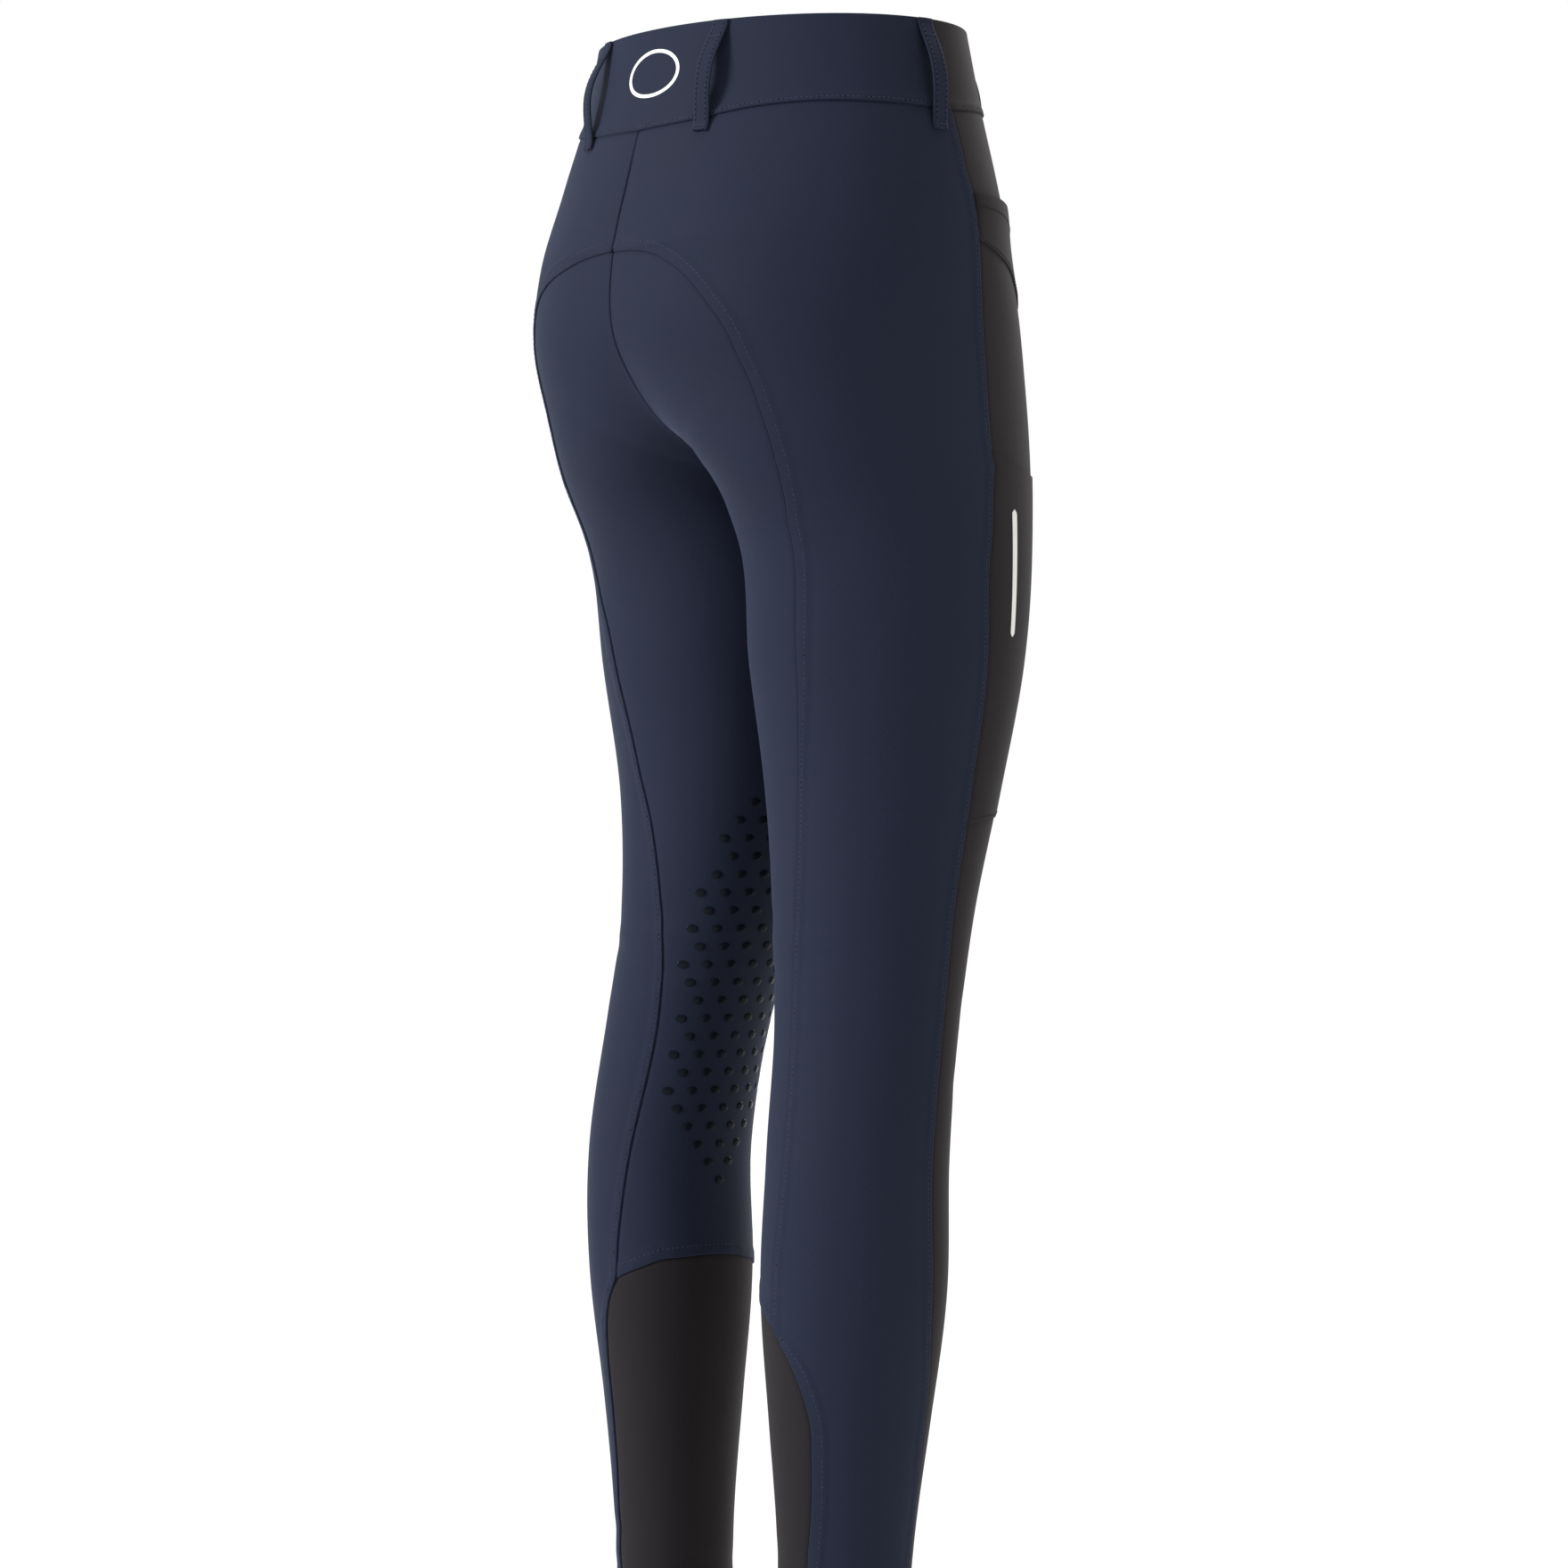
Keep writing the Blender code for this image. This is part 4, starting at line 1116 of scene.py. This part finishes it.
def leg(side, finish, threads, gap):
    """One side's panels, stitches, pockets and grip dots."""
    rails = {
        "side": rail(SIDE_SEAM),
        "back": rail(SEAT_ARCH[side] + BACK_SEAM[side]),
        "sock_top": rail(SOCK_TOP[side]),
        "sock": rail(SOCK_SEAM[side]),
        "inner": rail(INNER_SEAM),
        "centre_front": rail(CENTRE_FRONT),
        "centre_back": rail(CENTRE_BACK),
        "sock_front": rail(SOCK_FRONT),
    }
    band = rail(BAND_LOW)
    sock_top = curve_height(SOCK_TOP[side])
    low = SOCK_SEAM[side][0][1]

    def part(name, start, end):
        return cut_rail(rails[name], start, end)

    def from_front(name):
        return dict(rails[name], t=rails[name]["t"] - 1)

    panel("front", side, [
        (part("centre_front", -52, -268), part("side", -55, -268)),
        (from_front("inner"), part("side", -268, -768)),
        (from_front("sock_front"), part("side", -768, -1008)),
    ], [
        Seam(rails["side"], "under"),
        Seam(rails["centre_front"], "plain"),
        Seam(rails["inner"], "under"),
        Seam(rails["sock_front"], "plain"),
        Seam(band, "under"),
    ], finish["charcoal"], gap, top=BAND_HEIGHT, reach=0.05)

    panel("back", side, [
        (part("centre_back", -63, -138), part("side", -55, -126)),
        (part("back", -138, -205), part("side", -126, -205)),
        (part("back", -205, low), part("side", -205, low)),
        (rails["sock"], part("side", low, -1008)),
    ], [
        Seam(rails["side"], "over", fixed_stitch(SIDE_STITCH)),
        Seam(rails["back"], "over", seat_stitch),
        Seam(rails["sock"], "over", seat_stitch),
        Seam(part("centre_back", -63, -138), "plain"),
        Seam(band, "under"),
    ], finish["navy"], gap, top=BAND_HEIGHT, reach=0.05)

    panel("seat", side, [
        (part("back", -138, -205), part("centre_back", -138, -205)),
        (part("back", -205, -270), part("centre_back", -205, -270)),
        (part("back", -270, low), rails["inner"]),
    ], [
        Seam(rails["back"], "under"),
        Seam(part("centre_back", -138, -270), "plain"),
        Seam(rails["inner"], "over", fixed_stitch(INNER_STITCH)),
        Seam(rails["sock_top"], "over", fixed_stitch(SOCK_STITCH)),
    ], finish["navy"], gap, ends=(False, True), bottom=sock_top, reach=0.12)

    panel("sock", side, [(rails["sock"], rails["sock_front"])], [
        Seam(rails["sock"], "under"),
        Seam(rails["sock_top"], "under"),
        Seam(rails["sock_front"], "plain"),
    ], finish["sock"], gap, top=sock_top, reach=0.12)

    leg_stitches(side, rails, threads)
    pocket = side_pocket(
        "pocket_on_hip_" + side, "hip_pocket_" + side, side, rails, HIP_POCKET, "hip_pocket",
        finish["charcoal"], gap,
    )
    pocket_stitches(threads["charcoal"], side, pocket, HIP_POCKET, POCKET_STITCH, (POCKET_HEM,))
    if side == "right":
        pocket = side_pocket(
            "pocket_on_thigh", "thigh_pocket_right", side, rails, THIGH_POCKET, "thigh_pocket",
            finish["charcoal"], gap,
        )
        pocket_stitches(threads["charcoal"], side, pocket, THIGH_POCKET, POCKET_STITCH)
        pocket_bar(side, finish["print"])
    grip_dots(side, finish["rubber"])


def leg_stitches(side, rails, threads):
    """The top stitching beside a leg's seams, and round its hem."""
    for name, distance, toward, lift_mm, start, end in (
        ("side", fixed_stitch(SIDE_STITCH), (1, 0), 0.52, 0.004, 0.004),
        ("back", seat_stitch, (-1, 0.4), 0.50, 0.003, 0.0),
        ("sock", seat_stitch, (-1, 0.0), 0.50, 0.004, 0.004),
        ("inner", fixed_stitch(INNER_STITCH), (-1, 0.0), 0.52, 0.006, 0.004),
        ("sock_top", fixed_stitch(SOCK_STITCH), (0, 1), 0.48, 0.004, 0.004),
    ):
        stitch_line(threads["navy"], side, rails[name], distance, toward, lift_mm, start, end)
    side_t = SIDE_SEAM[-1][0]
    sock_t = SOCK_SEAM[side][-1][0]
    for colour, stops, lift_mm, clear in (
        ("charcoal", (side_t, 0.20, 0.171), 0.06, 0.002),
        ("charcoal", (sock_t, 0.9, 1.169), 0.06, 0.002),
        ("navy", (side_t, 0.55, sock_t), 0.10, 0.004),
    ):
        hem = rail([(t, HEM / MM) for t in stops])
        stitch_line(threads[colour], side, hem, fixed_stitch(HEM_STITCH), (0, 1), lift_mm, clear, clear)


def waistband(finish, threads, gap):
    """The waistband's back piece and two front pieces, with the stitching above its lower seam."""
    for name, side, start, end, cut, colour in (
        ("back", "left", BAND_SIDE, 2 - BAND_SIDE, "waistband_back", "navy"),
        ("front_left", "left", 0.0, BAND_SIDE, "waistband_front", "charcoal"),
        ("front_right", "right", 0.0, BAND_SIDE, "waistband_front", "charcoal"),
    ):
        def row(v, w, start=start, end=end):
            t = start + (end - start) * w
            around = np.where(t > 1, 2 - t, t)
            return t, BAND_HEIGHT(around) * v

        edge = np.linspace(start, end, 900)
        around = np.where(edge > 1, 2 - edge, edge)
        heights = BAND_HEIGHT(around)
        run = np.linalg.norm(np.diff(form(edge, heights), axis=0), axis=1)
        lower = {"t": edge, "z": heights, "run": np.concatenate([[0], np.cumsum(run)])}
        seam = Seam(lower, "over", fixed_stitch(BAND_STITCH))
        grid = spread(row, BAND_TALL, gap)
        obj = cloth_piece(
            "band_" + name, side, grid, [seam], finish[colour], BAND_WALL, lambda t, z: BAND_OUT + 0 * t,
            BAND_ROUND,
        )
        sewn(obj, cut, "waistband_" + name)
        stitch_line(threads[colour], side, lower, fixed_stitch(BAND_STITCH), (0, 1), 0.92, 0.003, 0.003)


def loop_places(top_t, low_t, rise, width_share):
    """Points and outward directions along a belt loop, at a share of its half width."""
    share = np.linspace(0, 1, LOOP_RUNGS)
    z = LOOP_TOP + (LOOP_BOTTOM - LOOP_TOP) * share
    bow = np.sin(np.pi * np.clip((share - 0.05) / 0.90, 0, 1)) ** 1.2
    off = LOOP_SEAT + rise * bow
    t = top_t + (low_t - top_t) * share
    centre = form(t, z)
    away = normal(t, z)
    across = form(t + 0.01, z) - form(t - 0.01, z)
    across /= np.linalg.norm(across, axis=1, keepdims=True)
    crown = 0.00035 * (1 - width_share ** 2)
    points = centre + across * (width_share * LOOP_WIDTH / 2) + away * (off + crown)[:, None]
    return points, away


def belt_loops(finish, threads):
    """Folded strips sewn down at both ends, bowed clear of the waistband between them."""
    strip = [(-share, drop) for share, drop in LOOP_ACROSS[:0:-1]] + LOOP_ACROSS
    shares = np.array([share for share, _ in strip])
    for place, *lie in LOOPS:
        colour = "charcoal" if place == "front" else "navy"
        for side in ("left", "right"):
            sign = to_side(side)
            columns = []
            backs = []
            for share, drop in strip:
                points, away = loop_places(*lie, share)
                columns.append((points - away * drop * MM) * sign)
                backs.append((points - away * LOOP_WALL) * sign)
            points = np.stack(columns, axis=1)
            backs = np.stack(backs, axis=1)
            flat_u = np.tile(shares * LOOP_WIDTH / 2, (LOOP_RUNGS, 1))
            flat_v = np.tile(np.linspace(0, LOOP_LENGTH, LOOP_RUNGS)[:, None], (1, len(shares)))
            _, away = loop_places(*lie, 0.0)
            middle = Vector(away[LOOP_RUNGS // 2] * sign)
            name = "belt_loop_" + place + "_" + side
            flat = (flat_u, flat_v)
            obj = grid_piece(name, points, backs, flat, finish[colour], lambda _, m=middle: m, 0.0003)
            sewn(obj, "loop", "loop_" + place + "_" + side)
            for share in (-0.62, 0.62):
                points, away = loop_places(*lie, share)
                threads[colour].line((points + away * 0.0001) * sign, away * sign)
            for rung in (8, 46):
                ends = []
                for share in (-0.8, 0.8):
                    points, away = loop_places(*lie, share)
                    ends.append(points[rung] + away[rung] * 0.00035)
                line = np.linspace(ends[0], ends[1], 12) * sign
                up = np.tile(away[rung] * sign, (12, 1))
                threads[colour].line(line, up, pitch=0.0009, length=0.00075, thick=0.00030, holes=False)


def fly(finish, threads, gap):
    """A facing stitched beside the centre front, with a curved lower end."""
    def row(v, w):
        top = BAND_HEIGHT(0.03) - 0.0006
        z = top + (FLY_LOW - top) * v
        bend = np.clip((v - 0.62) / 0.38, 0, 1)
        wide = FLY_WIDTH * np.sqrt(np.maximum(1 - bend ** 2.2, 0.0016))
        t = 0.0006 + (wide - 0.0006) * w
        return t, z + 0 * t

    def lift(t, z):
        return PATCH_GAP + 0.0010 + 0 * t

    grid = spread(row, 0.150, gap)
    obj = cloth_piece("fly_facing", "left", grid, [], finish["charcoal"], 0.0010, lift, 0.0004)
    sewn(obj, "fly", "fly")
    t, z = inside_edge(row, 0.0026, np.linspace(0.0, 0.985, 160))
    sew_along(threads["charcoal"], "left", t, z, 0.00162)


def waist_button(finish, thread):
    """A sew-through button with a rim and four holes."""
    t, z = BUTTON_PLACE
    away = Vector(normal(t, z))
    centre = Vector(form(t, z)) + away * 0.0011
    right = Vector((0, 0, 1)).cross(away).normalized()
    up = away.cross(right)
    bm = bmesh.new()
    profile = [
        (0.0001, 0.0), (0.0074, 0.0), (0.0082, 0.0004), (0.0085, 0.0011), (0.0084, 0.0019),
        (0.0079, 0.0025), (0.0072, 0.0026), (0.0064, 0.0021), (0.0058, 0.0018), (0.0001, 0.0017),
    ]
    verts = [bm.verts.new((radius, 0, height)) for radius, height in profile]
    for a, b in zip(verts, verts[1:]):
        bm.edges.new((a, b))
    bmesh.ops.spin(
        bm, geom=bm.verts[:] + bm.edges[:], cent=(0, 0, 0), axis=(0, 0, 1), angle=2 * math.pi,
        steps=40, use_merge=True,
    )
    bmesh.ops.remove_doubles(bm, verts=bm.verts, dist=0.00012)
    bmesh.ops.recalc_face_normals(bm, faces=bm.faces)
    turn = Matrix((
        (right.x, up.x, away.x, centre.x),
        (right.y, up.y, away.y, centre.y),
        (right.z, up.z, away.z, centre.z),
        (0, 0, 0, 1),
    ))
    bmesh.ops.transform(bm, matrix=turn, verts=bm.verts)
    obj = made_piece("waist_button_round", bm, finish)
    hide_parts("waist_button")
    for a, b in (((-1, -1), (1, 1)), ((-1, 1), (1, -1))):
        ends = [centre + (right * i + up * j) * 0.0013 + away * 0.0019 for i, j in (a, b)]
        line = np.linspace(ends[0], ends[1], 8)
        thread.line(line, np.tile(away, (8, 1)), pitch=0.0018, length=0.0011, thick=0.0004, holes=False)


def grip_dots(side, finish):
    """Small glossy domes in staggered rows on the inner knee."""
    bm = bmesh.new()
    turns = []
    mirror = to_side(side)
    rows = int((GRIP["top"] - GRIP["low"]) / GRIP["row_gap"])
    for j in range(rows + 1):
        z = GRIP["top"] - j * GRIP["row_gap"]
        share = (z - GRIP["low"]) / (GRIP["top"] - GRIP["low"])
        half = (GRIP["front_t"] - GRIP["back_t"]) / 2 * math.sqrt(max(1 - abs(2 * share - 1) ** 2.6, 0.03))
        middle = (GRIP["front_t"] + GRIP["back_t"]) / 2
        pitch = GRIP["dot_gap"] / girth(1.0, z, 0.001)
        count = int(half / pitch + 0.5) + 1
        row = middle + (np.arange(-count, count + 1) + 0.5 * (j % 2)) * pitch
        row = row[np.abs(row - middle) <= half]
        heights = np.full_like(row, z)
        ups = normal(row, heights)
        places = form(row, heights) + ups * (relief(row, heights, side) + 0.0002)[:, None]
        for centre, away in zip(places * mirror, ups * mirror):
            away = Vector(away)
            up = (Vector((0, 0, 1)) - away * away.z).normalized()
            across = up.cross(away)
            turn = Matrix((
                across * GRIP["width"] / 2, up * GRIP["length"] / 2, away * GRIP["rise"]
            )).transposed().to_4x4()
            turn.translation = centre
            turns.append(turn)
    model = dome()
    repeat_mesh(bm, turns, model)
    bpy.data.meshes.remove(model)
    bmesh.ops.recalc_face_normals(bm, faces=bm.faces)
    obj = made_piece("grip_dots_" + side, bm, finish)
    obj.data.set_sharp_from_angle(angle=math.radians(50))


def lay_print(name, side, place, bm, lift, finish):
    """Thickens a flat print a little and lays it on the cloth at a place."""
    faces = bmesh.ops.extrude_face_region(bm, geom=bm.faces[:])
    tops = [item for item in faces["geom"] if isinstance(item, bmesh.types.BMVert)]
    bmesh.ops.translate(bm, vec=(0, 0, 0.00018), verts=tops)
    t0, z0 = place
    flat = np.array([vert.co for vert in bm.verts])
    t = t0 + flat[:, 0] / girth(t0, z0, 0.005)
    z = z0 + flat[:, 1]
    height = relief(t, z, side) + lift + flat[:, 2]
    for vert, spot in zip(bm.verts, form(t, z) + normal(t, z) * height[:, None]):
        vert.co = spot
    if side == "right":
        bmesh.ops.scale(bm, vec=(-1, 1, 1), verts=bm.verts)
    bmesh.ops.recalc_face_normals(bm, faces=bm.faces)
    made_piece(name, bm, finish, smooth=False)


def pocket_bar(side, finish):
    """A plain upright bar with round ends, printed on the thigh pocket."""
    tall = 0.077
    wide = 0.0055
    bm = bmesh.new()
    bmesh.ops.create_grid(bm, x_segments=4, y_segments=40, size=0.5)
    bmesh.ops.scale(bm, vec=(wide, tall, 1), verts=bm.verts)
    for vert in bm.verts:
        past = abs(vert.co.y) - (tall - wide) / 2
        if past > 0:
            vert.co.x *= math.sqrt(max(1 - (past / (wide / 2)) ** 2, 0.02))
    lift = PATCH_GAP + PATCH_WALL + 0.00005
    lay_print("pocket_bar", side, (0.421, -0.333), bm, lift, finish)


def band_ring(finish):
    """A plain oval ring, printed on the back of the waistband."""
    bm = bmesh.new()
    ring = bmesh.ops.create_circle(bm, segments=72, radius=0.5)
    bmesh.ops.scale(bm, vec=(0.051, 0.030, 1), verts=ring["verts"])
    inner = bmesh.ops.extrude_edge_only(bm, edges=bm.edges[:])
    for vert in inner["geom"]:
        if isinstance(vert, bmesh.types.BMVert):
            vert.co.x *= 1 - 0.0056 / 0.051
            vert.co.y *= 1 - 0.0044 / 0.030
    lay_print("band_ring", "right", (0.990, -0.028), bm, BAND_OUT + 0.00005, finish)


# Studio.

def studio():
    """A pale floor, a white backdrop, soft light and the camera."""
    ground = bmesh.new()
    bmesh.ops.create_grid(ground, x_segments=1, y_segments=1, size=14)
    bmesh.ops.translate(ground, vec=(0, 0, FLOOR), verts=ground.verts)
    mesh = bpy.data.meshes.new("studio_floor")
    ground.to_mesh(mesh)
    ground.free()
    pale = bpy.data.materials.new("pale_floor")
    pale.use_nodes = True
    shader = pale.node_tree.nodes["Principled BSDF"]
    shader.inputs["Base Color"].default_value = (0.96, 0.96, 0.96, 1)
    shader.inputs["Roughness"].default_value = 0.9
    shader.inputs["Specular IOR Level"].default_value = 0.0
    mesh.materials.append(pale)
    floor = bpy.data.objects.new("studio_floor", mesh)
    bpy.context.collection.objects.link(floor)

    world = bpy.data.worlds.new("studio")
    bpy.context.scene.world = world
    world.use_nodes = True
    tree = world.node_tree
    backdrop = tree.nodes["Background"]
    backdrop.inputs["Color"].default_value = (1, 1, 1, 1)
    backdrop.inputs["Strength"].default_value = 1.0
    bpy.context.scene.view_settings.view_transform = "Standard"
    fill = tree.nodes.new("ShaderNodeBackground")
    fill.inputs["Color"].default_value = (1.0, 0.94, 0.82, 1)
    fill.inputs["Strength"].default_value = 0.38
    path = tree.nodes.new("ShaderNodeLightPath")
    mix = tree.nodes.new("ShaderNodeMixShader")
    tree.links.new(path.outputs["Is Camera Ray"], mix.inputs[0])
    tree.links.new(fill.outputs[0], mix.inputs[1])
    tree.links.new(backdrop.outputs[0], mix.inputs[2])
    tree.links.new(mix.outputs[0], tree.nodes["World Output"].inputs["Surface"])

    for name, toward_light, strength, soft, colour in SUNS:
        data = bpy.data.lights.new(name, "SUN")
        data.energy = strength
        data.angle = math.radians(soft)
        data.color = colour
        light = bpy.data.objects.new(name, data)
        bpy.context.collection.objects.link(light)
        light.rotation_euler = Vector(toward_light).to_track_quat("Z", "Y").to_euler()

    data = bpy.data.cameras.new("camera")
    data.lens = VIEW_LENS
    data.sensor_width = 36
    camera = bpy.data.objects.new("camera", data)
    bpy.context.collection.objects.link(camera)
    toward = Vector((-math.sin(VIEW_TURN), math.cos(VIEW_TURN), 0))
    right = Vector((-math.cos(VIEW_TURN), -math.sin(VIEW_TURN), 0))
    camera.location = toward * VIEW_DISTANCE + right * VIEW_STEP + Vector((0, 0, VIEW_HEIGHT))
    camera.rotation_euler = (-toward).to_track_quat("-Z", "Y").to_euler()
    bpy.context.scene.camera = camera


def main():
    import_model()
    studio()
    gap = GAP
    group = stretch_cloth_group()
    finish = {
        "navy": cloth_finish("navy_stretch", group, NAVY, NAVY_WORN, 0.12, (0.55, 0.66, 1.0, 1)),
        "charcoal": cloth_finish(
            "charcoal_stretch", group, CHARCOAL, CHARCOAL_WORN, 0.078, (0.88, 0.85, 1.0, 1)
        ),
        "sock": cloth_finish(
            "charcoal_sock", group, CHARCOAL, CHARCOAL_WORN, 0.09, (0.92, 0.86, 0.94, 1), 0.0009, 0.5
        ),
        "rubber": plain_finish(
            "grip_rubber", (0.0060, 0.0078, 0.0135, 1), (0.0074, 0.0094, 0.0160, 1), 0.14, 300.0, 0.0, 0.06
        ),
        # Near-black painted shade for the needle pits beside the stitches.
        "hole": plain_finish(
            "needle_hole", (0.0016, 0.0018, 0.0028, 1), (0.0022, 0.0024, 0.0036, 1), 0.9, 900.0, 0.0, 0.1
        ),
        "print": plain_finish("white_print", (0.80, 0.80, 0.81, 1), (0.88, 0.88, 0.88, 1), 0.5, 400.0),
        "button": plain_finish(
            "dark_horn", (0.012, 0.011, 0.012, 1), (0.030, 0.026, 0.025, 1), 0.3, 260.0, 0.2
        ),
    }
    thread_finish = {
        "navy": plain_finish(
            "navy_thread", (0.020, 0.026, 0.052, 1), (0.036, 0.044, 0.085, 1), 0.6, 900.0, 0.0, 0.25
        ),
        "charcoal": plain_finish(
            "charcoal_thread", (0.012, 0.011, 0.013, 1), (0.024, 0.021, 0.024, 1), 0.6, 900.0, 0.0, 0.25
        ),
    }
    threads = {name: Thread("stitching_" + name, thread_finish[name]) for name in thread_finish}
    waistband(finish, threads, gap)
    for side in ("left", "right"):
        leg(side, finish, threads, gap)
    belt_loops(finish, threads)
    fly(finish, threads, gap)
    waist_button(finish["button"], threads["charcoal"])
    band_ring(finish["print"])
    for thread in threads.values():
        thread.finish_piece(finish["hole"])


main()
